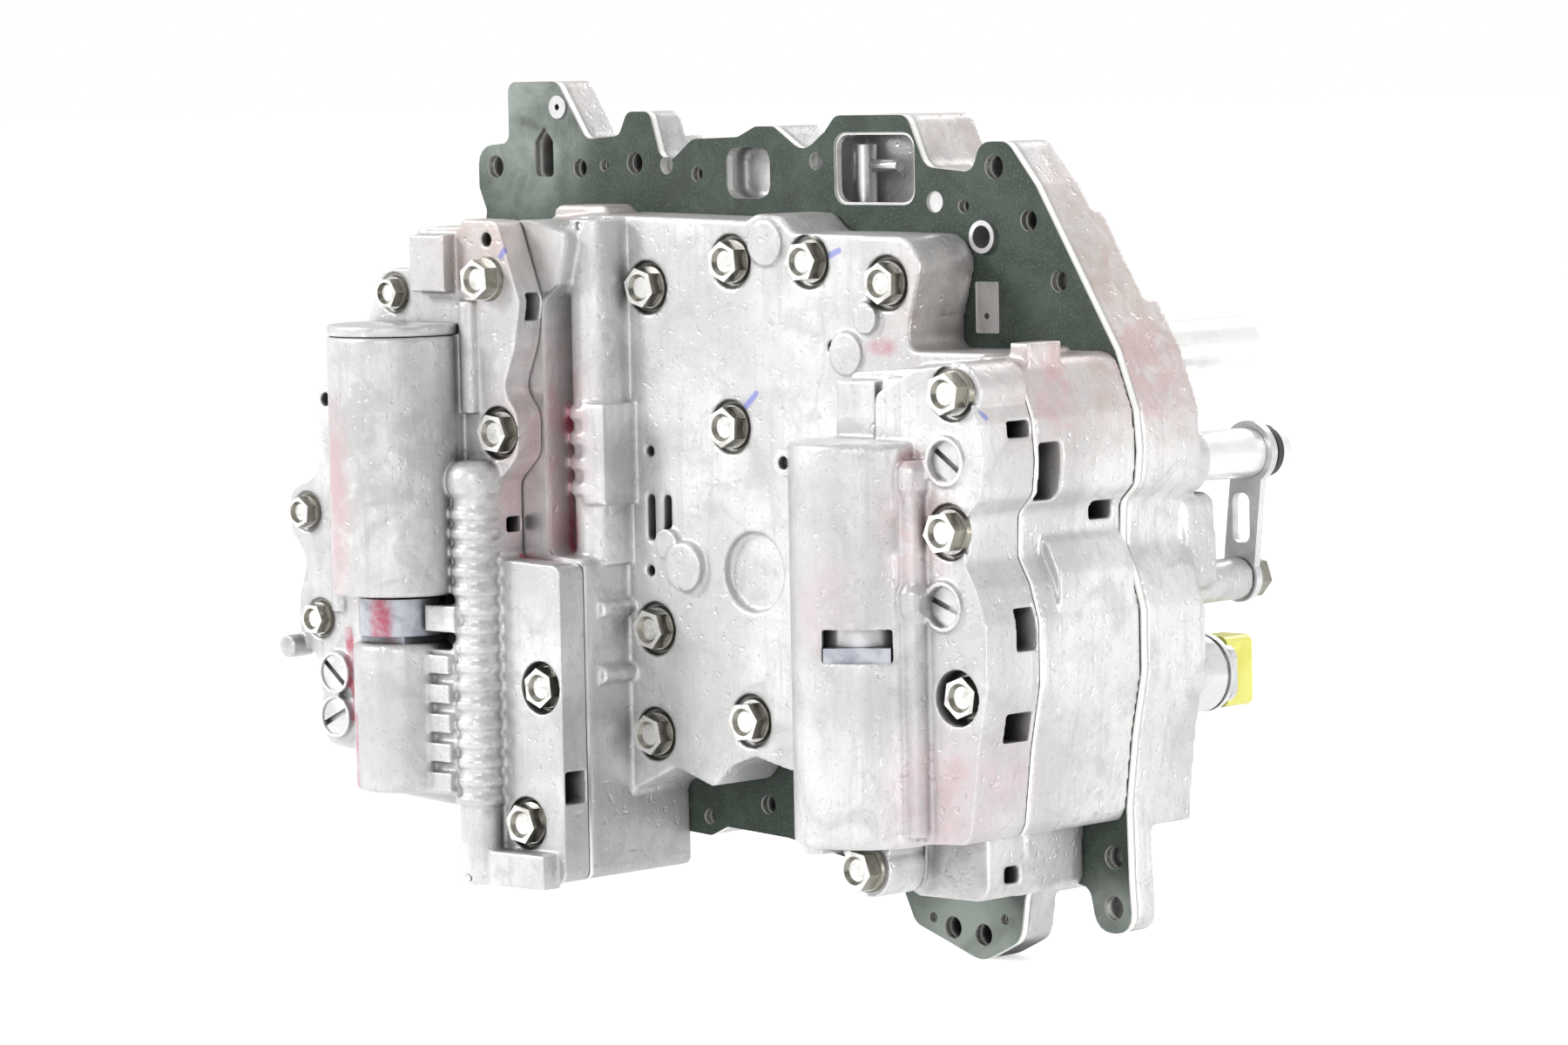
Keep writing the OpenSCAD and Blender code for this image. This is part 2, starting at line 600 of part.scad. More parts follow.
module left_body() {
    color(cast_colour) difference() {
        union() {
            slab(y_left, y_seam) polygon(rounded(left_body_edge));
            intersection() {
                union() {
                    rounded_barrel(left_axis, left_big_r, left_big_z, left_big_top, 1.2);
                    rounded_barrel(left_axis, left_small_r, left_small_z, left_small_top, 2);
                    left_passages();
                }
                box([-far, -far, 0], [0, y_seam, far]);
            }
        }
        rod_z(left_axis, left_big_bore, left_big_floor, left_big_top + cut);
        rod_z(left_axis, left_small_bore, left_small_floor, left_small_top + cut);
        left_keeper_shape(keeper_clear);
        // Recess between the two cylinders for the keeper's block
        box([-106, y_left - cut, left_small_top + left_keeper_t - 0.5],
            [-72.6, y_seam - 2, left_big_z - 0.5]);
        intersection() {
            rod_z(left_axis, left_big_r + cap_clear, left_big_top, left_big_top + cap_t + 9);
            box([-far, -far, 0], [0, y_left, far]);
        }
        rod_z(shift_axis, spool_bore_r, shift_z - cut, shift_top);
        shift_clip_cut(clip_r + 0.02);
        bolt_holes(concat(left_bolts, side_bolts), y_left - 30, y_seam + cut);
        spotfaces(left_bolts, y_left, left_bolt_sink);
        for (p = side_bolts) rod_y(p, spot_r * side_scale, y_left - 30, y_left + 1);
        for (p = left_plugs) rod_y(p, left_plug_r + running, y_left - 4, y_seam + cut);
        for (w = left_windows) box([w[4], w[0], w[1]], [-20, w[2], w[3]]);
        rod_y([-55.5, 207.7], 2, y_left - cut, y_seam + cut);
        rod_y(left_tip_boss, 2, y_left - 6, y_left + 4);
    }
}

module right_features() {
    rounded_barrel(right_axis, right_cyl_r, right_cyl_z, right_top, 1.6);
    // Raised panels above the cylinder
    box([85, y_right + 6, 150], [98.6, y_seam - 2, 171]);
    box([101, y_right + 6.4, 150.3], [116.5, y_seam - 2.3, 172]);
    box([86, y_right + 9, 150.6], [116, y_seam - 2.6, 170]);
    // Boss of the upper bolt
    rod_y(right_bolts[0], spot_r + 0.6, y_right + right_bolt_sink[0] + 0.4, y_seam - 0.6);
    // Cast oil gallery beside the cylinder, with two knobs on it
    translate([118, y_right - 1, 0]) rotate_extrude()
        polygon(concat([[0, 50], [4, 50]], [for (z = [113, 146])
            each [[4, z - 5], [5.2, z - 2.6], [5.2, z + 2.6], [4, z + 5]]], [[0, 151]]));
    // Small bosses at the cylinder's left side
    rod_y(right_small_boss, 3.6, y_right - 14, y_right - 8.8);
    box([80, y_right - 6, 43], [87, y_seam - 2, 52]);
    // Bosses around the screw plugs
    for (p = right_plugs) rod_y(p, screw_plug_r + 1.3, y_right - 1.4, y_right + cut);
    rod_y(right_foot_bolt, 8, y_seam - foot_lug_t, y_seam - 1);
    box([86, y_seam - foot_lug_t + 1, 38], [100, y_seam - 1, 50]);
}

module right_body() {
    color(cast_colour) difference() {
        union() {
            slab(y_seam - 10, y_seam) polygon(rounded(right_pad_edge));
            slab(y_right, y_seam) polygon(rounded(right_flat_edge));
            right_features();
        }
        rod_z(right_axis, right_bore, right_cyl_z - cut, right_roof);
        rod_z(right_axis, right_bore + snap_depth, right_lower_plug_z - snap_t, right_lower_plug_z);
        right_keeper_slot();
        bolt_holes(concat(right_bolts, [right_foot_bolt]), y_right - 30, y_seam + cut);
        spotfaces(right_bolts, y_right, right_bolt_sink);
        spotfaces([right_foot_bolt], y_seam - foot_lug_t, [0.5]);
        for (p = right_plugs)
            rod_y(p, screw_plug_r + running, y_right - 4, y_right + plug_recess + screw_plug_l);
        for (w = right_windows) box([flank_x, w[0], w[1]], [150, w[2], w[3]]);
        rod_y(right_small_boss, 1.8, y_right - 18, y_right - 10.5);
    }
}

module rear_body() {
    color(cast_colour) difference() {
        union() {
            slab(y_rear, y_back) polygon(rounded(stack_edge));
            rod_y(boss_place, boss_r, y_back - cut, y_back + boss_l);
            rod_y(upper_tube, tube_r + 3, y_back - cut, y_back + 2);
            rod_y(lower_tube, tube_r + 3, y_back - cut, y_back + 5);
            rod_y(strap_post, post_r, y_back - cut, y_back + can_l);
            slab(y_back - cut, y_back + 12) polygon(rounded([[112, 136, 4], [136, 136, 4], [137, 109, 4],
                [112, 109, 4]]));
        }
        bolt_holes(middle_bolts, y_rear - cut, y_rear + thread_l + cut);
        for (p = case_holes) rod_y(p, case_hole_r, y_rear - cut, y_back + cut);
        for (p = plate_holes) rod_y(p, p[2], y_rear - cut, y_rear + p[3]);
        rod_z(manual_axis, manual_bore_r, bore_bottom, cavity_z[1] + 15);
        slab(y_rear - cut, y_rear + cavity_depth) rounded_rect([[cavity_x[0], cavity_z[0]],
            [cavity_x[1], cavity_z[1]]], window_r);
        slab(y_rear - cut, y_rear + left_window_depth) rounded_rect(left_window, window_r);
        slab(y_rear - cut, y_rear + key_window_depth) polygon(rounded(key_window));
        for (p = rear_pockets) slab(y_back - pocket_floor, y_back + cut) rounded_rect(p, 5);
        for (p = rear_steps) slab(y_rear + p[2], y_back + cut) rounded_rect(p, 3);
        for (p = [upper_tube, lower_tube]) rod_y(p, tube_r + running, y_back - socket_depth, y_back + 20);
        for (p = [upper_tube, lower_tube]) rod_y(p, tube_r - tube_wall, y_back - socket_depth - 4, y_back);
        for (p = solenoids) rod_y(p, nose_r + running, y_back - nose_l - 0.5, y_back + cut);
        rod_y(boss_place, hole_r, y_back + boss_l - thread_l - cut, y_back + boss_l + cut);
        rod_y(strap_post, hole_r, y_back + can_l - thread_l - cut, y_back + can_l + cut);
        rod_y(dowel_low, dowel_r, y_rear - cut, y_rear + dowel_l / 2);
        rod_y(dowel, dowel_r, y_rear - cut, y_rear + dowel_l);
        slab(y_rear + 11, y_back + cut) polygon([[48, 0], [102, 0], [102, 24], [48, 30]]);
    }
}

module left_plate() {
    color(steel_colour) difference() {
        slab(y_seam, y_pad) polygon(rounded(left_pad_edge));
        bolt_holes(concat(left_bolts, side_bolts), y_seam - cut, y_pad + cut);
    }
}

module right_plate() {
    color(steel_colour) difference() {
        slab(y_seam, y_pad) polygon(rounded(right_pad_edge));
        bolt_holes(concat(right_bolts, [right_foot_bolt]), y_seam - cut, y_pad + cut);
    }
}

// One layer of the stack with its bolt holes, windows and oil holes
module stack_layer(front, back, window_grow) {
    difference() {
        slab(front, back) polygon(rounded(stack_edge));
        bolt_holes(middle_bolts, front - cut, back + cut);
        for (p = case_holes) rod_y(p, case_hole_r, front - cut, back + cut);
        for (p = plate_holes) rod_y(p, p[2], front - cut, back + cut);
        for (p = [dowel, dowel_low]) rod_y(p, dowel_r, front - cut, back + cut);
        for (p = rivet_places) rod_y(p, rivet_r, front - cut, back + cut);
        slab(front - cut, back + cut)
            rounded_rect([[cavity_x[0] + 7 - window_grow, cavity_z[0] + 4 - window_grow],
                [cavity_x[1] + window_grow, cavity_z[1] + window_grow]], window_r);
        slab(front - cut, back + cut) rounded_rect(left_window, window_r);
    }
}

// Gasket layers leave the orifice, the key window and the drop hole open over the bare steel
module gasket_layer(front, back) {
    difference() {
        stack_layer(front, back, 0.7);
        slab(front - cut, back + cut) rounded_rect(orifice_window, 0.6);
        slab(front - cut, back + cut) polygon(rounded(key_window));
        rod_y(drop_window, 3, front - cut, back + cut);
    }
}

module front_gasket() {
    color(gasket_colour) gasket_layer(0, y_plate);
}

module rear_gasket() {
    color(gasket_colour) gasket_layer(y_rear_gasket, y_rear);
}

module separator_plate() {
    color(steel_colour) difference() {
        stack_layer(y_plate, y_rear_gasket, 0);
        slab(y_plate - cut, y_rear_gasket + cut) polygon(rounded(key_window));
        rod_y(orifice, 0.9, y_plate - cut, y_rear_gasket + cut);
    }
}

module left_body_bolts() {
    color(zinc_colour) for (i = [0:len(left_bolts) - 1])
        flange_bolt(left_bolts[i], y_left + left_bolt_sink[i],
            left_t - left_bolt_sink[i] + steel_t + thread_l);
}

module left_side_bolts() {
    color(zinc_colour) for (p = side_bolts)
        flange_bolt(p, y_left + 1, left_t - 1 + steel_t + thread_l, side_scale);
}

module middle_body_bolts() {
    color(zinc_colour) for (p = middle_bolts)
        flange_bolt(p, y_face + spot_depth, face_t - spot_depth + y_rear + thread_l);
}

module right_body_bolts() {
    color(zinc_colour) {
        for (i = [0:len(right_bolts) - 1]) flange_bolt(right_bolts[i], y_right + right_bolt_sink[i],
            right_t - right_bolt_sink[i] + steel_t + thread_l);
        flange_bolt(right_foot_bolt, y_seam - foot_lug_t + 0.5, foot_lug_t - 0.5 + steel_t + thread_l);
    }
}

module left_slotted_plugs() {
    color(steel_colour) for (p = left_plugs) slotted_plug(p, left_plug_r, y_left - 3 + plug_recess);
}

module right_slotted_plugs() {
    color(steel_colour) for (p = right_plugs) slotted_plug(p, screw_plug_r, y_right + plug_recess);
}

// Rivets that hold the gaskets to the plate
module plate_rivets() {
    color(steel_colour) for (p = rivet_places) difference() {
        union() {
            rod_y(p, rivet_r - 0.02, -cut / 2, y_rear);
            rod_y(p, rivet_head_r, -rivet_head_t, 0);
        }
        rod_y(p, rivet_r - 0.7, -cut - rivet_head_t, y_rear + cut);
    }
}

module sleeve(place, front, back) {
    difference() {
        rod_y(place, dowel_r - 0.02, front, back);
        rod_y(place, dowel_r - dowel_wall, front - cut, back + cut);
    }
}

module dowel_sleeves() {
    color(steel_colour) {
        sleeve(dowel, -1.2, y_rear + dowel_l);
        sleeve(dowel_low, -dowel_l / 2, y_rear + dowel_l / 2);
    }
}

// Loose check balls that lie at the bottom of their pockets
module check_balls() {
    color(steel_colour) for (p = ball_places)
        translate([p[0], -ball_r - 0.1, p[1] - 0.65]) sphere(r = ball_r);
}

module left_cap() {
    color(cast_colour) difference() {
        union() {
            rounded_barrel(left_axis, left_big_r, left_big_top, left_big_top + cap_t, 0.8);
            rod_z(left_axis, left_big_bore - running, left_big_top - plug_t, left_big_top + cut);
        }
        rod_z(left_axis, left_big_bore - 4, left_big_top - plug_t - cut, left_big_top - plug_t + 2);
        box([-far, y_left - 0.1, left_big_top - cut], [0, 0, left_big_top + cap_t + cut]);
    }
}

module left_upper_piston() {
    color(steel_colour) piston(left_axis, left_big_bore, left_big_floor + stop_gap, piston_l);
}

module left_upper_spring() {
    color(zinc_colour) coil(left_axis, left_big_floor + stop_gap + piston_floor, left_big_top - plug_t + 2,
        min(acc_spring_r, left_big_bore - 4 - acc_wire_r - spring_clear), acc_wire_r);
}

module left_lower_piston() {
    color(steel_colour) piston(left_axis, left_small_bore, short_piston_z, short_piston_l, true);
}

module left_lower_spring() {
    color(zinc_colour) coil(left_axis, left_small_floor, short_piston_z + short_piston_l - piston_floor,
        short_spring_r, acc_wire_r);
}

module left_lower_plug() {
    color(steel_colour) rod_z(left_axis, left_small_bore - running, left_small_top - plug_t, left_small_top);
}

module left_keeper_shape(grow) {
    box([left_axis[0] - 9 - grow, y_left - 16, left_small_top],
        [left_axis[0] + 9 + grow, y_left + 3 + grow, left_small_top + left_keeper_t + grow]);
}

// Plate over the lower cylinder, with a round block that fills the gap under the upper one
module left_keeper() {
    color(steel_colour) {
        left_keeper_shape(0);
        rod_z(left_axis, keeper_block_r, left_small_top + left_keeper_t - 0.3, left_big_z - keeper_gap);
    }
}

module right_upper_piston() {
    color(steel_colour) piston(right_axis, right_bore, right_piston_z, piston_l, true);
}

module right_upper_spring() {
    color(zinc_colour) coil(right_axis, plug_high, right_piston_z + piston_l - piston_floor,
        right_spring_r, acc_wire_r);
}

// Double plug between the two right accumulators, with a groove for the keeper
module right_upper_plug() {
    color(steel_colour) difference() {
        rod_z(right_axis, right_bore - running, plug_low, plug_high);
        difference() {
            rod_z(right_axis, right_bore + cut, slot_z - keeper_t / 2 - keeper_clear,
                slot_z + keeper_t / 2 + keeper_clear);
            rod_z(right_axis, plug_waist_r, plug_low, plug_high);
        }
    }
}

module about_right_axis() {
    translate([right_axis[0], right_axis[1], 0]) rotate([0, 0, keeper_turn])
        translate([-right_axis[0], -right_axis[1], 0]) children();
}

module right_keeper() {
    color(steel_colour) about_right_axis() difference() {
        box([right_axis[0] - slot_w / 2 + 0.4, keeper_front, slot_z - keeper_t / 2],
            [right_axis[0] + slot_w / 2 - 0.4, keeper_back, slot_z + keeper_t / 2]);
        rod_z(right_axis, plug_waist_r + 0.2, slot_z - keeper_t, slot_z + keeper_t);
        box([right_axis[0] - plug_waist_r - 0.2, right_axis[1], slot_z - keeper_t],
            [right_axis[0] + plug_waist_r + 0.2, keeper_back + cut, slot_z + keeper_t]);
    }
}

module right_keeper_slot() {
    about_right_axis() {
        box([right_axis[0] - slot_w / 2, keeper_front - 20, slot_z - keeper_t / 2],
            [right_axis[0] + slot_w / 2, right_axis[1], slot_z - keeper_t / 2 + slot_h]);
        box([right_axis[0] - slot_w / 2, right_axis[1] - cut, slot_z - keeper_t / 2],
            [right_axis[0] + slot_w / 2, keeper_back + keeper_clear, slot_z + keeper_t / 2 + keeper_clear]);
    }
}

module right_lower_piston() {
    color(steel_colour) piston(right_axis, right_bore, lower_piston_z, piston_l, true);
}

module right_lower_spring() {
    color(zinc_colour) coil(right_axis, right_lower_plug_z + plug_t, lower_piston_z + piston_l - piston_floor,
        right_spring_r, acc_wire_r);
}

module right_lower_plug() {
    color(steel_colour)
        rod_z(right_axis, right_bore - running, right_lower_plug_z, right_lower_plug_z + plug_t);
}

module right_snap_ring() {
    color(steel_colour) difference() {
        rod_z(right_axis, right_bore + snap_depth - 0.1, right_lower_plug_z - snap_t, right_lower_plug_z);
        rod_z(right_axis, right_bore - 2, right_lower_plug_z - snap_t - cut, right_lower_plug_z + cut);
        box([right_axis[0] - 4, right_axis[1] - right_bore - 4, right_lower_plug_z - snap_t - cut],
            [right_axis[0] + 4, right_axis[1], right_lower_plug_z + cut]);
    }
}

module shift_spool() {
    color(steel_colour) spool(shift_axis, spool_r, shift_spool_z, spool_lands);
}

module shift_spring() {
    color(zinc_colour) coil(shift_axis, shift_spool_z + spool_length(spool_lands), shift_top,
        spool_spring_r, spool_wire_r);
}

// Cross hole for the clip pin below the shift valve's plug
module shift_clip_cut(r) {
    rod_y([shift_axis[0], shift_z + plug_sink - clip_r], r, shift_axis[1] - 20, shift_axis[1] + 7);
}

module shift_plug() {
    color(steel_colour) rod_z(shift_axis, spool_r, shift_z + plug_sink, shift_plug_top);
}

module shift_clip() {
    color(steel_colour) rod_y([shift_axis[0], shift_z + plug_sink - clip_r], clip_r, shift_axis[1] - 6.5,
        shift_axis[1] + 7);
}

module regulator_spool() {
    color(steel_colour) spool(regulator_axis, spool_r, regulator_z + stop_gap, spool_lands);
}

module regulator_spring() {
    color(zinc_colour) coil(regulator_axis, regulator_z + stop_gap + spool_length(spool_lands),
        regulator_plug_z, spool_spring_r, spool_wire_r);
}

module regulator_plug() {
    color(steel_colour) rod_z(regulator_axis, spool_r, regulator_plug_z, regulator_plug_z + spool_plug_l);
}

module regulator_clip_cut(r) {
    rod_y([regulator_axis[0], regulator_top - plug_sink + clip_r], r,
        regulator_axis[1] - 20, regulator_axis[1] + 8);
}

module regulator_clip() {
    color(steel_colour) rod_y([regulator_axis[0], regulator_top - plug_sink + clip_r], clip_r,
        regulator_axis[1] - 6.5, regulator_axis[1] + 8);
}

// Manual valve: three lands in the bore and a thin neck that reaches into the window
module manual_valve() {
    low = manual_top - manual_l;
    land = 16;
    gap = 6;
    color(steel_colour) difference() {
        union() {
            for (z = [0:land + gap:2 * (land + gap)])
                rod_z(manual_axis, manual_bore_r - running, low + z, low + z + land);
            rod_z(manual_axis, manual_neck_r, low + 1, manual_top);
        }
        translate([manual_axis[0] - manual_neck_r - cut, manual_axis[1], manual_pin_z]) rotate([0, 90, 0])
            cylinder(r = manual_pin_r, h = 2 * manual_neck_r + 2 * cut);
    }
}

module manual_pin() {
    color(steel_colour) translate([manual_axis[0] - manual_neck_r, manual_axis[1], manual_pin_z])
        rotate([0, 90, 0]) cylinder(r = manual_pin_r - 0.02, h = manual_pin_l);
}

module oil_tube(place) {
    difference() {
        rod_y(place, tube_r, y_back - socket_depth, y_back + tube_l);
        rod_y(place, tube_r - tube_wall, y_back - socket_depth - cut, y_back + tube_l + cut);
    }
}

module upper_oil_tube() {
    color(steel_colour) oil_tube(upper_tube);
}

module lower_oil_tube() {
    color(steel_colour) difference() {
        oil_tube(lower_tube);
        difference() {
            rod_y(lower_tube, tube_r + cut, seal_y, seal_y + groove_w);
            rod_y(lower_tube, tube_r - groove_depth, seal_y - cut, seal_y + groove_w + cut);
        }
    }
}

module tube_seal() {
    color(rubber_colour) difference() {
        rod_y(lower_tube, tube_r + 0.4, seal_y + 0.1, seal_y + groove_w - 0.1);
        rod_y(lower_tube, tube_r - groove_depth + 0.02, seal_y - cut, seal_y + groove_w + cut);
    }
}

// Slotted strip that holds the lower tube to its boss
module tube_retainer() {
    front = y_back + boss_l;
    back = front + retainer_t;
    color(steel_colour) difference() {
        union() {
            rod_y(lower_tube, tube_r + 1.8, front, back);
            rod_y(boss_place, boss_r + 0.8, front, back);
            slab(front, back) polygon([[boss_place[0] - strip_half, boss_place[1]],
                [boss_place[0] + strip_half, boss_place[1]], [lower_tube[0] + strip_half, lower_tube[1]],
                [lower_tube[0] - strip_half, lower_tube[1]]]);
        }
        rod_y(lower_tube, tube_r + 0.05, front - cut, back + cut);
        rod_y(boss_place, hole_r, front - cut, back + cut);
        slab(front - cut, back + cut) rounded_rect([[boss_place[0] - 1.6, boss_place[1] + 10],
            [boss_place[0] + 4.4, lower_tube[1] - 11.5]], 2.4);
    }
}

// Bolt that stands behind the part, with its head to the back
module back_bolt(place, seat, shank) {
    translate([place[0], seat, place[1]]) mirror([0, 1, 0]) translate([-place[0], 0, -place[1]])
        flange_bolt(place, 0, shank);
}

module retainer_bolt() {
    color(zinc_colour) back_bolt(boss_place, y_back + boss_l + retainer_t, retainer_t + thread_l);
}

module solenoid(place) {
    neck_r = 6;
    difference() {
        union() {
            rod_y(place, nose_r, y_back - nose_l, y_back + cut);
            rod_y(place, can_r, y_back, y_back + can_l);
            rod_y(place, neck_r, y_back + can_l - cut, y_back + can_l + strap_t);
        }
        rod_y(place, 2, y_back - nose_l - cut, y_back - 2);
        for (y = [2, can_l - 3.5]) difference() {
            rod_y(place, can_r + cut, y_back + y, y_back + y + 1.5);
            rod_y(place, can_r - 0.8, y_back + y - cut, y_back + y + 1.5 + cut);
        }
    }
}

module lower_solenoid() {
    color(steel_colour) solenoid(lower_solenoid_place);
}

module upper_solenoid() {
    color(steel_colour) solenoid(upper_solenoid_place);
}

// Moulded connector with an open socket to the back
module connector(place) {
    front = y_back + can_l + strap_t;
    wall = 1.6;
    half = [6.5, 10];
    difference() {
        slab(front, front + connector_l) rounded_rect([place - half, place + half], 2.5);
        slab(front + 5, front + connector_l + cut)
            rounded_rect([place - half + [wall, wall], place + half - [wall, wall]], 1.5);
    }
}

module lower_connector() {
    color(yellow_colour) connector(lower_solenoid_place);
}

module upper_connector() {
    color(yellow_colour) connector(upper_solenoid_place);
}

module solenoid_strap() {
    front = y_back + can_l;
    color(steel_colour) difference() {
        slab(front, front + strap_t)
            rounded_rect([[upper_solenoid_place[0] - 10, upper_solenoid_place[1] - 8],
                [lower_solenoid_place[0] + 10, lower_solenoid_place[1] + 8]], 4);
        for (p = solenoids) rod_y(p, 6.05, front - cut, front + strap_t + cut);
        rod_y(strap_post, hole_r, front - cut, front + strap_t + cut);
    }
}

module strap_bolt() {
    color(zinc_colour) back_bolt(strap_post, y_back + can_l + strap_t, strap_t + thread_l);
}

place() middle_body();
place() left_body();
place() right_body();
place() rear_body();
place() left_plate();
place() right_plate();
place() front_gasket();
place() separator_plate();
place() rear_gasket();
place() left_body_bolts();
place() left_side_bolts();
place() middle_body_bolts();
place() right_body_bolts();
place() left_slotted_plugs();
place() right_slotted_plugs();
place() plate_rivets();
place() dowel_sleeves();
place() check_balls();
place() left_cap();
place() left_upper_piston();
place() left_upper_spring();
place() left_lower_piston();
place() left_lower_spring();
place() left_lower_plug();
place() left_keeper();
place() right_upper_piston();
place() right_upper_spring();
place() right_upper_plug();
place() right_keeper();
place() right_lower_piston();
place() right_lower_spring();
place() right_lower_plug();
place() right_snap_ring();
place() shift_spool();
place() shift_spring();
place() shift_plug();
place() shift_clip();
place() regulator_spool();
place() regulator_spring();
place() regulator_plug();
place() regulator_clip();
place() manual_valve();
place() manual_pin();
place() upper_oil_tube();
place() lower_oil_tube();
place() tube_seal();
place() tube_retainer();
place() retainer_bolt();
place() lower_solenoid();
place() lower_connector();
place() upper_solenoid();
place() upper_connector();
place() solenoid_strap();
place() strap_bolt();
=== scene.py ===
"""Transmission valve body: looks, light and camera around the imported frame."""
import json
import math

import bmesh
import bpy
from mathutils import Matrix, Vector


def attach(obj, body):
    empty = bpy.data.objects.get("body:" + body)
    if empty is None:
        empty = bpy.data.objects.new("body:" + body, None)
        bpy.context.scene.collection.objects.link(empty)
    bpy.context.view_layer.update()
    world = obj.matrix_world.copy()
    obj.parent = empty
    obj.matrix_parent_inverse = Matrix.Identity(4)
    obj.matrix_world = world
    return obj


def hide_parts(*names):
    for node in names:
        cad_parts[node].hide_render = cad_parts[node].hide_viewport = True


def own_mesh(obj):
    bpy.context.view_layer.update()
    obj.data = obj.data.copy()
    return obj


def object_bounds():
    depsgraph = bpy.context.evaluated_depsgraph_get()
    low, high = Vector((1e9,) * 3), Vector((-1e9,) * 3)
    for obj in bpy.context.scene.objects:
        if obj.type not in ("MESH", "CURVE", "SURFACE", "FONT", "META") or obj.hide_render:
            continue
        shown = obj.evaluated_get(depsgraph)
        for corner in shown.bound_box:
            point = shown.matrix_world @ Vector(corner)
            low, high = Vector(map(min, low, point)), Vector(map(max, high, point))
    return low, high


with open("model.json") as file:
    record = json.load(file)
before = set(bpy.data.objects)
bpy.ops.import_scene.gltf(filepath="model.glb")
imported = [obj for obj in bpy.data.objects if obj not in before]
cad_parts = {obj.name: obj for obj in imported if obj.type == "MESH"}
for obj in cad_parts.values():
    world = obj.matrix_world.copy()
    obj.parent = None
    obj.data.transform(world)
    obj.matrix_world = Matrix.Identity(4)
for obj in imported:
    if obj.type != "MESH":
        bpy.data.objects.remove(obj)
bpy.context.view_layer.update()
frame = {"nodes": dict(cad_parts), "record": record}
nodes = frame["nodes"]
MM = 0.001

# The castings are measured from the lowest lobe, as in the part's source; this moves them to the row frame
CAST_TO_ROW = Vector((6, 0, -227))


def at(x, y, z):
    """A point given in millimetres in the casting's own measures, in the row frame."""
    return (Vector((x, y, z)) + CAST_TO_ROW) * MM


# Camera at the photograph's angle, lens and sensor in millimetres, distance in metres
AZIMUTH = math.radians(43)
ELEVATION = math.radians(4.5)
ROLL = 0.020
DISTANCE = 1.8
LENS = 144
SENSOR = 36
AIM = Vector((6, 0, -102)) * MM
AIM_SHIFT = 7.5 * MM
# From the part towards the camera
TO_CAMERA = Vector((math.sin(AZIMUTH) * math.cos(ELEVATION), -math.cos(AZIMUTH) * math.cos(ELEVATION),
                    math.sin(ELEVATION)))


def make_camera():
    back = TO_CAMERA
    level = Vector((math.cos(AZIMUTH), math.sin(AZIMUTH), 0))
    rise = back.cross(level)
    right = level * math.cos(ROLL) - rise * math.sin(ROLL)
    up = rise * math.cos(ROLL) + level * math.sin(ROLL)
    place = AIM + back * DISTANCE + right * AIM_SHIFT
    data = bpy.data.cameras.new("camera")
    data.lens = LENS
    data.sensor_width = SENSOR
    camera = bpy.data.objects.new("camera", data)
    camera.matrix_world = Matrix((
        (right.x, up.x, back.x, place.x),
        (right.y, up.y, back.y, place.y),
        (right.z, up.z, back.z, place.z),
        (0, 0, 0, 1)))
    bpy.context.scene.collection.objects.link(camera)
    bpy.context.scene.camera = camera


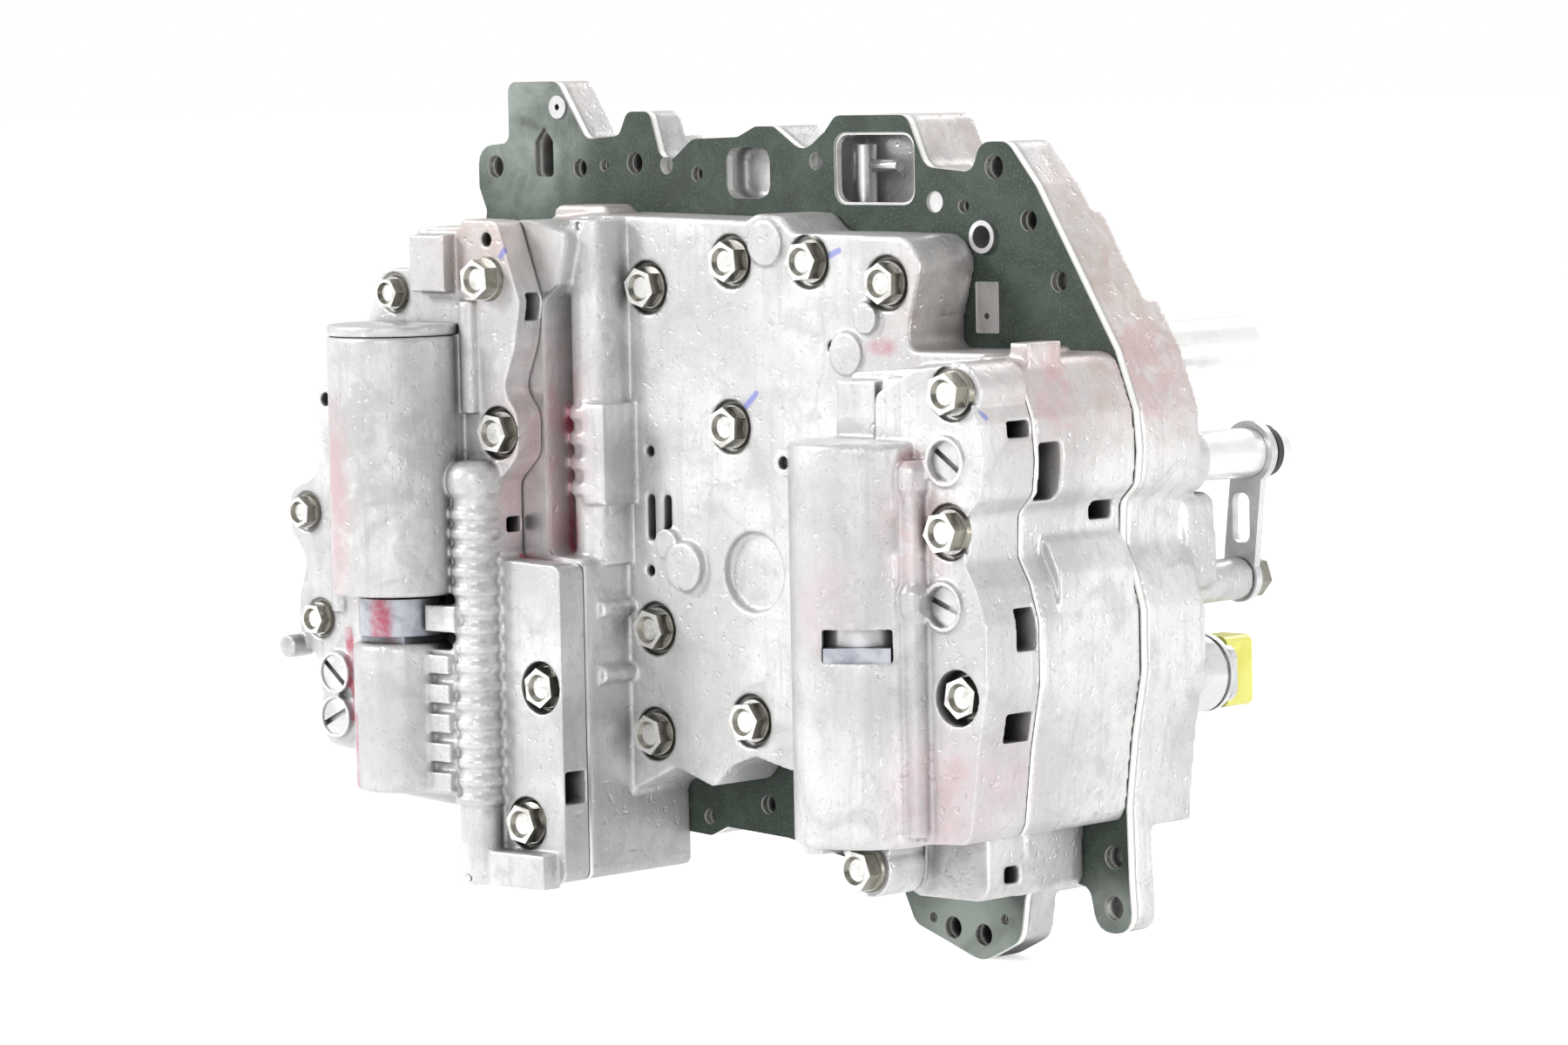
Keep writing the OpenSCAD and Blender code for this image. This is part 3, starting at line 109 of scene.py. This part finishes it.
class Shade:
    """A procedural material under construction."""

    def __init__(self, name):
        self.material = bpy.data.materials.new(name)
        self.material.use_nodes = True
        self.tree = self.material.node_tree
        self.bsdf = self.tree.nodes["Principled BSDF"]
        coordinate = self.node("ShaderNodeTexCoord")
        self.coords = coordinate.outputs["Object"]
        self.normal = coordinate.outputs["Normal"]

    def node(self, kind, **settings):
        made = self.tree.nodes.new(kind)
        for key, value in settings.items():
            setattr(made, key, value)
        return made

    def put(self, socket, value):
        """Link another node's output to a socket, or set a constant on it."""
        if hasattr(value, "is_output"):
            self.tree.links.new(value, socket)
        elif isinstance(value, tuple) and len(value) == 3 and socket.type == "RGBA":
            socket.default_value = (*value, 1)
        else:
            socket.default_value = value

    def noise(self, scale, detail=3, rough=0.55, coords=None, warp=0.0):
        made = self.node("ShaderNodeTexNoise")
        self.put(made.inputs["Vector"], coords or self.coords)
        self.put(made.inputs["Scale"], scale)
        self.put(made.inputs["Detail"], detail)
        self.put(made.inputs["Roughness"], rough)
        self.put(made.inputs["Distortion"], warp)
        return made.outputs[0]

    def stretch(self, x, y, z):
        made = self.node("ShaderNodeMapping")
        self.put(made.inputs["Vector"], self.coords)
        made.inputs["Scale"].default_value = (x, y, z)
        return made.outputs[0]

    def span(self, value, low, high, to_low=0.0, to_high=1.0):
        """A value eased from one range to another, held at both ends."""
        made = self.node("ShaderNodeMapRange", interpolation_type="SMOOTHSTEP")
        for key, item in zip(("Value", "From Min", "From Max", "To Min", "To Max"),
                             (value, low, high, to_low, to_high)):
            self.put(made.inputs[key], item)
        return made.outputs[0]

    def math(self, operation, a, b=0.0):
        made = self.node("ShaderNodeMath", operation=operation)
        self.put(made.inputs[0], a)
        self.put(made.inputs[1], b)
        return made.outputs[0]

    def mix(self, factor, a, b):
        made = self.node("ShaderNodeMix", data_type="RGBA")
        self.put(made.inputs[0], factor)
        self.put(made.inputs[6], a)
        self.put(made.inputs[7], b)
        return made.outputs[2]

    def spot(self, centre, radius, stretch=(1, 1, 1)):
        """1 at a point of the casting, falling softly to 0 at the radius in millimetres."""
        away = self.vector("SUBTRACT", self.coords, at(*centre))
        gap = self.vector("LENGTH", self.vector("MULTIPLY", away, stretch))
        return self.span(gap, radius * MM, radius * MM * 0.25)

    def vector(self, operation, a, b=None, scale=None):
        made = self.node("ShaderNodeVectorMath", operation=operation)
        self.put(made.inputs[0], a)
        if b is not None:
            self.put(made.inputs[1], b)
        if scale is not None:
            self.put(made.inputs["Scale"], scale)
        return made.outputs["Value" if operation in ("LENGTH", "DOT_PRODUCT") else "Vector"]

    def stroke(self, start, end, width):
        """1 along a line between two points of the casting, 0 beyond the width in millimetres."""
        first = at(*start)
        run = at(*end) - first
        away = self.vector("SUBTRACT", self.coords, first)
        share = self.node("ShaderNodeMath", operation="MULTIPLY", use_clamp=True)
        self.put(share.inputs[0], self.vector("DOT_PRODUCT", away, run))
        self.put(share.inputs[1], 1 / run.length_squared)
        near = self.vector("SCALE", run, scale=share.outputs[0])
        gap = self.vector("LENGTH", self.vector("SUBTRACT", away, near))
        return self.span(gap, width * MM, width * MM * 0.5)

    def hollow(self, reach):
        """0 on open faces, rising to 1 in corners and hollows within the reach in millimetres."""
        made = self.node("ShaderNodeAmbientOcclusion", samples=6)
        self.put(made.inputs["Distance"], reach * MM)
        return self.math("SUBTRACT", 1.0, made.outputs["AO"])

    def edges(self):
        """0.5 on flat faces, more on outer edges and less in corners."""
        return self.node("ShaderNodeNewGeometry").outputs["Pointiness"]

    def facing_y(self):
        """1 on faces square to the part's Y axis, 0 on faces along it."""
        made = self.node("ShaderNodeSeparateXYZ")
        self.put(made.inputs[0], self.normal)
        return self.math("ABSOLUTE", made.outputs["Y"])

    def bump(self, height, distance, strength=1.0, below=None):
        made = self.node("ShaderNodeBump")
        self.put(made.inputs["Height"], height)
        self.put(made.inputs["Distance"], distance * MM)
        self.put(made.inputs["Strength"], strength)
        if below is not None:
            self.put(made.inputs["Normal"], below)
        return made.outputs[0]

    def finish(self, **sockets):
        for key, value in sockets.items():
            self.put(self.bsdf.inputs[key.replace("_", " ")], value)
        return self.material


# Dye and dirt that the photograph shows on the castings, and painted shade: centre, radius, stretch of the
# measure, most
RED_SPOTS = [
    ((-99, -60, 101), 15, (0.8, 0.7, 1.8), 0.75), ((-41, -31, 153), 5, (1, 0.7, 0.8), 0.9),
    ((-40, -33, 124), 6, (1.2, 0.7, 0.6), 0.9), ((119, -67, 151), 5, (1, 1, 1), 0.55),
    ((71, -25, 178), 6, (0.7, 1, 1.6), 0.45), ((137, 9, 160), 7, (1, 0.7, 1.6), 0.4)]
PINK_SPOTS = [
    ((-94, -78, 134), 30, (2.4, 1, 0.7), 0.55), ((-46, -38, 150), 22, (1, 1, 0.5), 0.5),
    ((-50, -42, 128), 16, (1, 1, 0.8), 0.5), ((137, -31, 169), 14, (1, 1, 0.8), 0.5),
    ((134, 12, 172), 20, (1, 0.8, 0.8), 0.32), ((126, -66, 62), 20, (1, 1, 0.7), 0.35),
    ((101, -83, 112), 14, (1, 1, 0.8), 0.3), ((139, -52, 66), 18, (1, 1, 0.8), 0.3),
    ((120, -66, 133), 16, (1, 1, 0.7), 0.4)]
# Dark spots: painted shade in the recess between the left cylinders, and a darker peg at the far left
DARK_SPOTS = [
    ((-100, -46, 99), 10, (1, 0.6, 1.2), 0.8), ((-136, -56, 86.9), 7, (1, 0.7, 1), 0.6)]
BROWN_SPOTS = [
    ((133, -30, 172), 34, (1, 0.8, 1), 0.55), ((128, 14, 180), 40, (1, 0.8, 0.9), 0.55),
    ((114, 14, 208), 34, (1, 1, 0.8), 0.5), ((-58, -50, 204), 22, (1, 1, 1), 0.6),
    ((-95, 12, 238), 34, (1, 1, 1), 0.5), ((-45, -10, 214), 26, (1, 1, 1), 0.55),
    ((66, 14, 238), 26, (1, 1, 1), 0.4), ((84, -14, 190), 24, (1, 1, 1), 0.45)]
# Painted shade: a grey cast on the left cylinder and on the left body's flank beside the valley
PAINTED_SHADE_SPOTS = [
    ((-80, -76, 145), 44, (1.3, 1, 0.85), 0.75), ((-50, -44, 160), 30, (1, 1, 0.6), 0.45)]
# Runs of dye: start, end, width, most
RED_STROKES = [
    ((-117, -52.8, 92), (-113.5, -52.8, 67), 2.4, 0.8), ((-42.5, -32, 160), (-42.5, -32, 117), 2.0, 0.7),
    ((-54, -44, 116), (-36, -42, 116), 1.6, 0.8), ((-92.7, -72.6, 70), (-92.4, -72.8, 47), 2.0, 0.6)]
# Paint ticks beside the bolts: start, end
BLUE_TICKS = [
    ((18.5, -24, 160), (23, -24, 164)), ((136.8, -64.3, 165.5), (140, -60, 162.5)),
    ((-49.5, -52, 203), (-47, -52, 206)), ((51.5, -24, 203), (55.5, -24, 204.5))]
TICK_WIDTH = 1.2
TICK_MOST = 0.6
# The dye on the left keeper
KEEPER_DYE = ((-82.2, -71.8, 98), 8, (1.5, 1.5, 0.45))
# Pale worn patches on the gasket: centre, radius, least
GASKET_PATCHES = [
    ((-92, 0, 240), 36, 0.3), ((78, 0, 8), 34, 0.65), ((131, 0, 18), 20, 0.45)]
# Colours of the dye, dirt and paint, and the greys of the painted shade spots
STAIN_AND_SHADE_TONES = {"red": (0.42, 0.05, 0.10), "pink": (0.62, 0.36, 0.40), "brown": (0.50, 0.38, 0.34),
          "blue": (0.10, 0.14, 0.60), "dark": (0.07, 0.08, 0.08), "painted_shade": (0.40, 0.40, 0.395)}
SOFT_STAINS_AND_SHADE = (("painted_shade", PAINTED_SHADE_SPOTS), ("brown", BROWN_SPOTS), ("pink", PINK_SPOTS), ("dark", DARK_SPOTS))
# The least of a ragged stain, as a share of its most
RAGGED_LEAST = 0.3
# Hollows that are light in the photograph, where the painted shade in the castings' hollows is lessened:
# the plate's windows, and the valley left of the middle body
WINDOW_LIGHT = ((44, 10, 224), 42)
VALLEY_LIGHT = ((-42, -32, 160), 32, (1.6, 0.8, 0.45))


def cast_aluminium():
    """Satin die casting: mottled, pitted and stained, with painted shade in its corners and hollows and a
    painted highlight along its edges.
    """
    s = Shade("cast_aluminium")
    cloud = s.noise(24, 4, 0.6)
    patch = s.noise(85, 5, 0.65, warp=0.8)
    fine = s.noise(800, 4, 0.7)
    streak = s.noise(330, 4, 0.65, s.stretch(1, 1, 0.07))
    base = s.mix(s.span(cloud, 0.36, 0.64), (0.56, 0.555, 0.56), (0.74, 0.735, 0.73))
    base = s.mix(s.span(patch, 0.46, 0.68, 0, 0.6), base, (0.46, 0.45, 0.45))
    base = s.mix(s.span(streak, 0.50, 0.70, 0, 0.5), base, (0.47, 0.475, 0.50))
    base = s.mix(s.span(fine, 0.54, 0.70, 0, 0.4), base, (0.34, 0.335, 0.33))
    # Outer edges painted near white: a painted highlight
    base = s.mix(s.span(s.edges(), 0.515, 0.58, 0, 0.75), base, (0.93, 0.93, 0.92))
    ragged = s.span(s.noise(95, 4, 0.65, warp=0.6), 0.32, 0.66)
    # Soft stains and dirt, and the painted shade and dark spots
    for kind, spots in SOFT_STAINS_AND_SHADE:
        for centre, radius, stretch, most in spots:
            share = s.span(ragged, 0, 1, most * RAGGED_LEAST, most)
            base = s.mix(s.math("MULTIPLY", s.spot(centre, radius, stretch), share), base, STAIN_AND_SHADE_TONES[kind])
    # Spots where the painted shade in hollows is lessened
    light = s.math("MAXIMUM", s.spot(*WINDOW_LIGHT), s.spot(*VALLEY_LIGHT))
    shaded = s.math("SUBTRACT", 1.0, light)
    # Painted shade: darker in corners and hollows within 8 mm
    painted_hollow_shade = s.math("MULTIPLY", s.span(s.hollow(8), 0.28, 0.85, 0, 0.85), s.span(shaded, 0, 1, 0.35, 1))
    base = s.mix(painted_hollow_shade, base, (0.075, 0.07, 0.06))
    # Painted shadow: near black deep in hollows within 26 mm
    painted_deep_shade = s.math("MULTIPLY", s.span(s.hollow(26), 0.66, 0.86, 0, 0.93), shaded)
    base = s.mix(painted_deep_shade, base, (0.022, 0.026, 0.022))
    reds = [(s.spot(centre, radius, stretch), most) for centre, radius, stretch, most in RED_SPOTS]
    reds += [(s.stroke(start, end, width), most) for start, end, width, most in RED_STROKES]
    for mask, most in reds:
        share = s.span(ragged, 0, 1, most * RAGGED_LEAST, most)
        base = s.mix(s.math("MULTIPLY", mask, share), base, STAIN_AND_SHADE_TONES["red"])
    for start, end in BLUE_TICKS:
        base = s.mix(s.math("MULTIPLY", s.stroke(start, end, TICK_WIDTH), TICK_MOST), base, STAIN_AND_SHADE_TONES["blue"])
    grain = s.noise(1300, 2, 0.6)
    pits = s.span(s.noise(380, 2, 0.5), 0.60, 0.74)
    bump = s.bump(grain, 0.12, 0.7)
    bump = s.bump(s.math("MULTIPLY", pits, -1.0), 0.22, 0.7, bump)
    bump = s.bump(streak, 0.10, 0.5, bump)
    bump = s.bump(cloud, 0.9, 0.4, bump)
    rough = s.math("ADD", s.span(patch, 0.3, 0.75, 0.33, 0.50), s.math("MULTIPLY", painted_hollow_shade, 0.25))
    return s.finish(Base_Color=base, Roughness=rough, Metallic=0.45, Normal=bump)


def gasket():
    """Dark green-grey coated fibre, with worn patches and pale cut edges."""
    s = Shade("gasket")
    speck = s.noise(1400, 3, 0.65)
    wear = s.noise(60, 4, 0.65, warp=0.5)
    base = s.mix(s.span(wear, 0.4, 0.7), (0.030, 0.044, 0.034), (0.064, 0.084, 0.068))
    base = s.mix(s.span(speck, 0.52, 0.7, 0, 0.6), base, (0.15, 0.17, 0.155))
    for centre, radius, least in GASKET_PATCHES:
        amount = s.math("MULTIPLY", s.spot(centre, radius), s.span(wear, 0.3, 0.7, least, 0.85))
        base = s.mix(amount, base, (0.33, 0.37, 0.34))
    ring = s.span(s.noise(35, 2, 0.5, warp=1.5), 0.58, 0.68, 0, 0.35)
    base = s.mix(ring, base, (0.03, 0.028, 0.024))
    base = s.mix(s.span(s.facing_y(), 0.4, 0.8), (0.62, 0.62, 0.59), base)
    return s.finish(Base_Color=base, Roughness=s.span(wear, 0.3, 0.7, 0.5, 0.75), Specular_IOR_Level=0.35,
                    Normal=s.bump(speck, 0.06, 0.5))


def brushed(name, colour, dark, rough, along=(1, 1, 1), metallic=0.9):
    """Machined or rolled metal with fine lines, cloudy tarnish and painted shade in its corners."""
    s = Shade(name)
    line = s.noise(600, 3, 0.6, s.stretch(*along))
    cloud = s.noise(90, 4, 0.6, warp=0.4)
    base = s.mix(s.span(cloud, 0.42, 0.7, 0, 0.7), colour, dark)
    base = s.mix(s.span(line, 0.5, 0.75, 0, 0.3), base, dark)
    # Painted shade: darker in corners and hollows within 4 mm
    painted_hollow_shade = s.span(s.hollow(4), 0.3, 0.85, 0, 0.75)
    base = s.mix(painted_hollow_shade, base, tuple(c * 0.16 for c in colour))
    return s.finish(Base_Color=base, Roughness=s.span(cloud, 0.3, 0.7, rough - 0.07, rough + 0.1),
                    Metallic=metallic, Normal=s.bump(line, 0.04, 0.35))


def plate_steel():
    """Rolled plate: satin faces with cloudy tarnish, and bright cut edges."""
    s = Shade("plate_steel")
    line = s.noise(600, 3, 0.6, s.stretch(1, 1, 0.2))
    cloud = s.noise(90, 4, 0.6, warp=0.4)
    face = s.mix(s.span(cloud, 0.4, 0.7), (0.68, 0.675, 0.67), (0.52, 0.515, 0.51))
    face = s.mix(s.span(line, 0.5, 0.75, 0, 0.35), face, (0.46, 0.46, 0.46))
    base = s.mix(s.span(s.facing_y(), 0.4, 0.8), (0.90, 0.90, 0.89), face)
    return s.finish(Base_Color=base, Roughness=s.span(cloud, 0.3, 0.7, 0.30, 0.44), Metallic=0.9,
                    Normal=s.bump(line, 0.04, 0.35))


def bolt_steel():
    """Plated bolts with cloudy tarnish and fine lines; tops and flanges painted bright and the sides of the
    hex painted dark as a painted reflection, and painted shade in the corners.
    """
    s = Shade("zinc_bolt")
    cloud = s.noise(160, 4, 0.65, warp=0.5)
    line = s.noise(900, 3, 0.6)
    # Painted reflection: faces square to the part's Y axis painted bright, the hex sides painted dark
    painted_sheen = s.span(s.facing_y(), 0.55, 0.92)
    base = s.mix(painted_sheen, (0.25, 0.24, 0.20), (0.82, 0.815, 0.80))
    base = s.mix(s.span(cloud, 0.46, 0.68, 0, 0.6), base, (0.40, 0.385, 0.33))
    base = s.mix(s.span(line, 0.52, 0.72, 0, 0.35), base, (0.30, 0.29, 0.26))
    # Painted shade: darker in corners within 3 mm
    base = s.mix(s.span(s.hollow(3), 0.30, 0.85, 0, 0.8), base, (0.07, 0.065, 0.05))
    return s.finish(Base_Color=base, Roughness=s.span(cloud, 0.3, 0.7, 0.24, 0.40), Metallic=0.85,
                    Normal=s.bump(line, 0.05, 0.4))


def keeper_steel():
    """Blue-grey steel with red dye run down it."""
    s = Shade("keeper_steel")
    cloud = s.noise(150, 4, 0.65, warp=0.5)
    base = s.mix(s.span(cloud, 0.4, 0.7), (0.46, 0.48, 0.52), (0.30, 0.32, 0.37))
    # Painted shade: darker in corners within 5 mm
    base = s.mix(s.span(s.hollow(5), 0.25, 0.85, 0, 0.8), base, (0.06, 0.06, 0.07))
    dye = s.math("MULTIPLY", s.spot(*KEEPER_DYE), s.span(cloud, 0.3, 0.6, 0.35, 0.9))
    base = s.mix(dye, base, STAIN_AND_SHADE_TONES["red"])
    return s.finish(Base_Color=base, Roughness=s.span(cloud, 0.3, 0.7, 0.28, 0.42), Metallic=0.6,
                    Normal=s.bump(cloud, 0.08, 0.4))


def moulded(name, colour, dark, rough):
    """Moulded plastic or rubber with a fine grain, faint mottling and painted shade in its hollows."""
    s = Shade(name)
    mottle = s.noise(140, 3, 0.6)
    grain = s.noise(1800, 2, 0.5)
    base = s.mix(s.span(mottle, 0.4, 0.7), colour, dark)
    # Painted shade: darker in hollows within 5 mm
    base = s.mix(s.span(s.hollow(5), 0.3, 0.85, 0, 0.6), base, tuple(c * 0.25 for c in colour))
    return s.finish(Base_Color=base, Roughness=s.span(mottle, 0.3, 0.7, rough - 0.08, rough + 0.1),
                    Normal=s.bump(grain, 0.05, 0.4))


MATERIALS = {
    "cast_aluminium": cast_aluminium(),
    "gasket": gasket(),
    "plate_steel": plate_steel(),
    "zinc_bolt": bolt_steel(),
    "spring_wire": brushed("spring_wire", (0.5, 0.5, 0.51), (0.3, 0.3, 0.3), 0.35, metallic=0.95),
    "connector": moulded("connector", (0.88, 0.86, 0.22), (0.80, 0.76, 0.14), 0.42),
    "solenoid_can": brushed("solenoid_can", (0.7, 0.7, 0.7), (0.5, 0.5, 0.5), 0.3, (1, 0.1, 1)),
    "rubber": moulded("rubber", (0.03, 0.03, 0.03), (0.05, 0.05, 0.05), 0.6),
    "piston_alloy": brushed("piston_alloy", (0.66, 0.65, 0.62), (0.45, 0.44, 0.42), 0.35, (1, 1, 4)),
    "steel": brushed("steel", (0.66, 0.66, 0.67), (0.46, 0.46, 0.47), 0.32, (1, 0.3, 1)),
    "bright_tube": brushed("bright_tube", (0.88, 0.88, 0.87), (0.70, 0.70, 0.69), 0.30, (1, 0.1, 1),
                           metallic=0.7),
    "keeper_steel": keeper_steel(),
}
# Nodes whose look differs from the rest of their slot
OWN_LOOK = {"upper_oil_tube": "bright_tube", "lower_oil_tube": "bright_tube", "left_keeper": "keeper_steel",
            "right_keeper": "keeper_steel"}


# Voxel in millimetres and most triangles of each rounded casting
CASTINGS = {"middle_body": (0.65, 190000), "rear_body": (0.8, 170000), "left_body": (0.5, 190000),
            "right_body": (0.5, 190000), "left_cap": (0.45, 30000)}
# Points of the CAD mesh that lie closer than this are one point, in millimetres
WELD = 0.002
SMOOTH_PASSES = 3
# Bevel of the carried-over nodes by slot, in millimetres
BEVELS = {"zinc_bolt": 0.25, "steel": 0.2, "connector": 0.4, "solenoid_can": 0.4, "piston_alloy": 0.3}
BEVEL_ANGLE = math.radians(35)


def paint(obj, look):
    obj.data.materials.clear()
    obj.data.materials.append(MATERIALS[look])


def dress(obj, name, material_slot):
    """Let a smooth-shaded copy take the place of a CAD node of the housing."""
    for face in obj.data.polygons:
        face.use_smooth = True
    paint(obj, material_slot)
    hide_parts(name)
    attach(obj, "housing")


def evaluated_mesh(obj):
    graph = bpy.context.evaluated_depsgraph_get()
    return bpy.data.meshes.new_from_object(obj.evaluated_get(graph))


def cast_copy(name, voxel, budget):
    """Copy of a CAD casting with rounded edges and filleted corners, thinned to a triangle budget."""
    mesh = nodes[name].data.copy()
    work = bmesh.new()
    work.from_mesh(mesh)
    bmesh.ops.remove_doubles(work, verts=work.verts, dist=WELD * MM)
    work.to_mesh(mesh)
    work.free()
    obj = bpy.data.objects.new(name + "_cast", mesh)
    bpy.context.scene.collection.objects.link(obj)
    remesh = obj.modifiers.new("voxels", "REMESH")
    remesh.mode = "VOXEL"
    remesh.voxel_size = voxel * MM
    smooth = obj.modifiers.new("smooth", "SMOOTH")
    smooth.factor = 0.5
    smooth.iterations = SMOOTH_PASSES
    dense = evaluated_mesh(obj)
    obj.modifiers.clear()
    obj.data = dense
    triangles = sum(len(p.vertices) - 2 for p in dense.polygons)
    if triangles > budget:
        thin = obj.modifiers.new("thin", "DECIMATE")
        thin.ratio = budget / triangles
        obj.data = evaluated_mesh(obj)
        obj.modifiers.clear()
    dress(obj, name, slots[name])


def spring_copy(name):
    """Smooth-shaded copy of a CAD spring that takes the place of the node in the housing."""
    coil = bpy.data.objects.new(name + "_coil", nodes[name].data.copy())
    bpy.context.scene.collection.objects.link(coil)
    dress(coil, name, slots[name])
    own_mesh(coil)


def round_edges(obj, width):
    """Small bevels on a carried-over CAD node."""
    bevel = obj.modifiers.new("edges", "BEVEL")
    bevel.width = width * MM
    bevel.segments = 2
    bevel.limit_method = "ANGLE"
    bevel.angle_limit = BEVEL_ANGLE


slots = {s["node"]: s["material_slot"] for s in frame["record"]["subparts"]}
for name, (voxel, budget) in CASTINGS.items():
    cast_copy(name, voxel, budget)
springs = set()
for joint in frame["record"]["behaviour"]["joints"]:
    for bent in joint.get("deforming_nodes", []):
        spring_copy(bent["node"])
        springs.add(bent["node"])
for name, node in nodes.items():
    if name in CASTINGS or name in springs:
        continue
    paint(node, OWN_LOOK.get(name, slots[name]))
    if slots[name] in BEVELS:
        round_edges(node, BEVELS[slots[name]])


# The light that falls on the part, and the white that the camera sees
WORLD_LIGHT = 0.48
FLOOR_TONE = 0.9
FLOOR_WHITE = 1.02
FLOOR_HALF = 15
FLOOR_GAP = 0.2 * MM
# Reflections of the dim studio behind the photographer
STUDIO_TONE = 0.18
# Place and size in metres, power in watts
LAMPS = {"key": ((-1.15, -1.4, 0.9), 0.5, 26.5), "fill": ((0.9, -1.7, 0.5), 0.9, 11.5),
         "side": ((1.85, 0.45, -0.05), 0.4, 11.5), "back": ((-0.3, 1.7, 0.9), 0.8, 10.5)}


def light_path(tree):
    """1 for rays that show a surface straight, in a reflection or through glass."""
    path = tree.nodes.new("ShaderNodeLightPath")
    seen = path.outputs["Is Camera Ray"]
    for key in ("Is Glossy Ray", "Is Transmission Ray"):
        both = tree.nodes.new("ShaderNodeMath")
        both.operation = "MAXIMUM"
        tree.links.new(seen, both.inputs[0])
        tree.links.new(path.outputs[key], both.inputs[1])
        seen = both.outputs[0]
    return seen


def make_world():
    """White for the camera, softer as light on the part, and dim in reflections from the camera's side."""
    world = bpy.data.worlds.new("studio")
    bpy.context.scene.world = world
    world.use_nodes = True
    tree = world.node_tree
    background = tree.nodes["Background"]
    background.inputs["Color"].default_value = (1, 1, 1, 1)
    level = tree.nodes.new("ShaderNodeMapRange")
    tree.links.new(light_path(tree), level.inputs["Value"])
    level.inputs["To Min"].default_value = WORLD_LIGHT
    level.inputs["To Max"].default_value = 1.0
    towards = tree.nodes.new("ShaderNodeVectorMath")
    towards.operation = "DOT_PRODUCT"
    tree.links.new(tree.nodes.new("ShaderNodeTexCoord").outputs["Generated"], towards.inputs[0])
    towards.inputs[1].default_value = TO_CAMERA
    studio = tree.nodes.new("ShaderNodeMapRange")
    studio.interpolation_type = "SMOOTHSTEP"
    tree.links.new(towards.outputs["Value"], studio.inputs["Value"])
    for key, value in (("From Min", 0.35), ("From Max", 0.85), ("To Min", 1.0), ("To Max", STUDIO_TONE)):
        studio.inputs[key].default_value = value
    glossy = tree.nodes.new("ShaderNodeMix")
    tree.links.new(tree.nodes.new("ShaderNodeLightPath").outputs["Is Glossy Ray"], glossy.inputs["Factor"])
    tree.links.new(level.outputs[0], glossy.inputs["A"])
    tree.links.new(studio.outputs[0], glossy.inputs["B"])
    tree.links.new(glossy.outputs[0], background.inputs["Strength"])


def make_floor(level):
    """A floor that the camera sees as white, apart from the part's shadow."""
    mesh = bpy.data.meshes.new("floor")
    corners = [(x * FLOOR_HALF, y * FLOOR_HALF, level) for x, y in ((-1, -1), (1, -1), (1, 1), (-1, 1))]
    mesh.from_pydata(corners, [], [(0, 1, 2, 3)])
    floor = bpy.data.objects.new("floor", mesh)
    bpy.context.scene.collection.objects.link(floor)
    material = bpy.data.materials.new("floor")
    material.use_nodes = True
    tree = material.node_tree
    tree.nodes.remove(tree.nodes["Principled BSDF"])
    diffuse = tree.nodes.new("ShaderNodeBsdfDiffuse")
    diffuse.inputs["Color"].default_value = (FLOOR_TONE, FLOOR_TONE, FLOOR_TONE, 1)
    glow = tree.nodes.new("ShaderNodeEmission")
    scale = tree.nodes.new("ShaderNodeMath")
    scale.operation = "MULTIPLY"
    scale.inputs[1].default_value = FLOOR_WHITE - FLOOR_TONE * WORLD_LIGHT
    tree.links.new(light_path(tree), scale.inputs[0])
    tree.links.new(scale.outputs[0], glow.inputs["Strength"])
    add = tree.nodes.new("ShaderNodeAddShader")
    tree.links.new(diffuse.outputs[0], add.inputs[0])
    tree.links.new(glow.outputs[0], add.inputs[1])
    tree.links.new(add.outputs[0], tree.nodes["Material Output"].inputs["Surface"])
    mesh.materials.append(material)


def make_lamp(name, place, size, power):
    data = bpy.data.lights.new(name, "AREA")
    data.energy = power
    data.shape = "DISK"
    data.size = size
    lamp = bpy.data.objects.new(name, data)
    lamp.location = place
    lamp.rotation_euler = (AIM - Vector(place)).to_track_quat("-Z", "Y").to_euler()
    bpy.context.scene.collection.objects.link(lamp)


make_camera()
make_world()
for name, (place, size, power) in LAMPS.items():
    make_lamp(name, place, size, power)
bpy.context.scene.view_settings.view_transform = "Standard"
low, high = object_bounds()
make_floor(low.z - FLOOR_GAP)
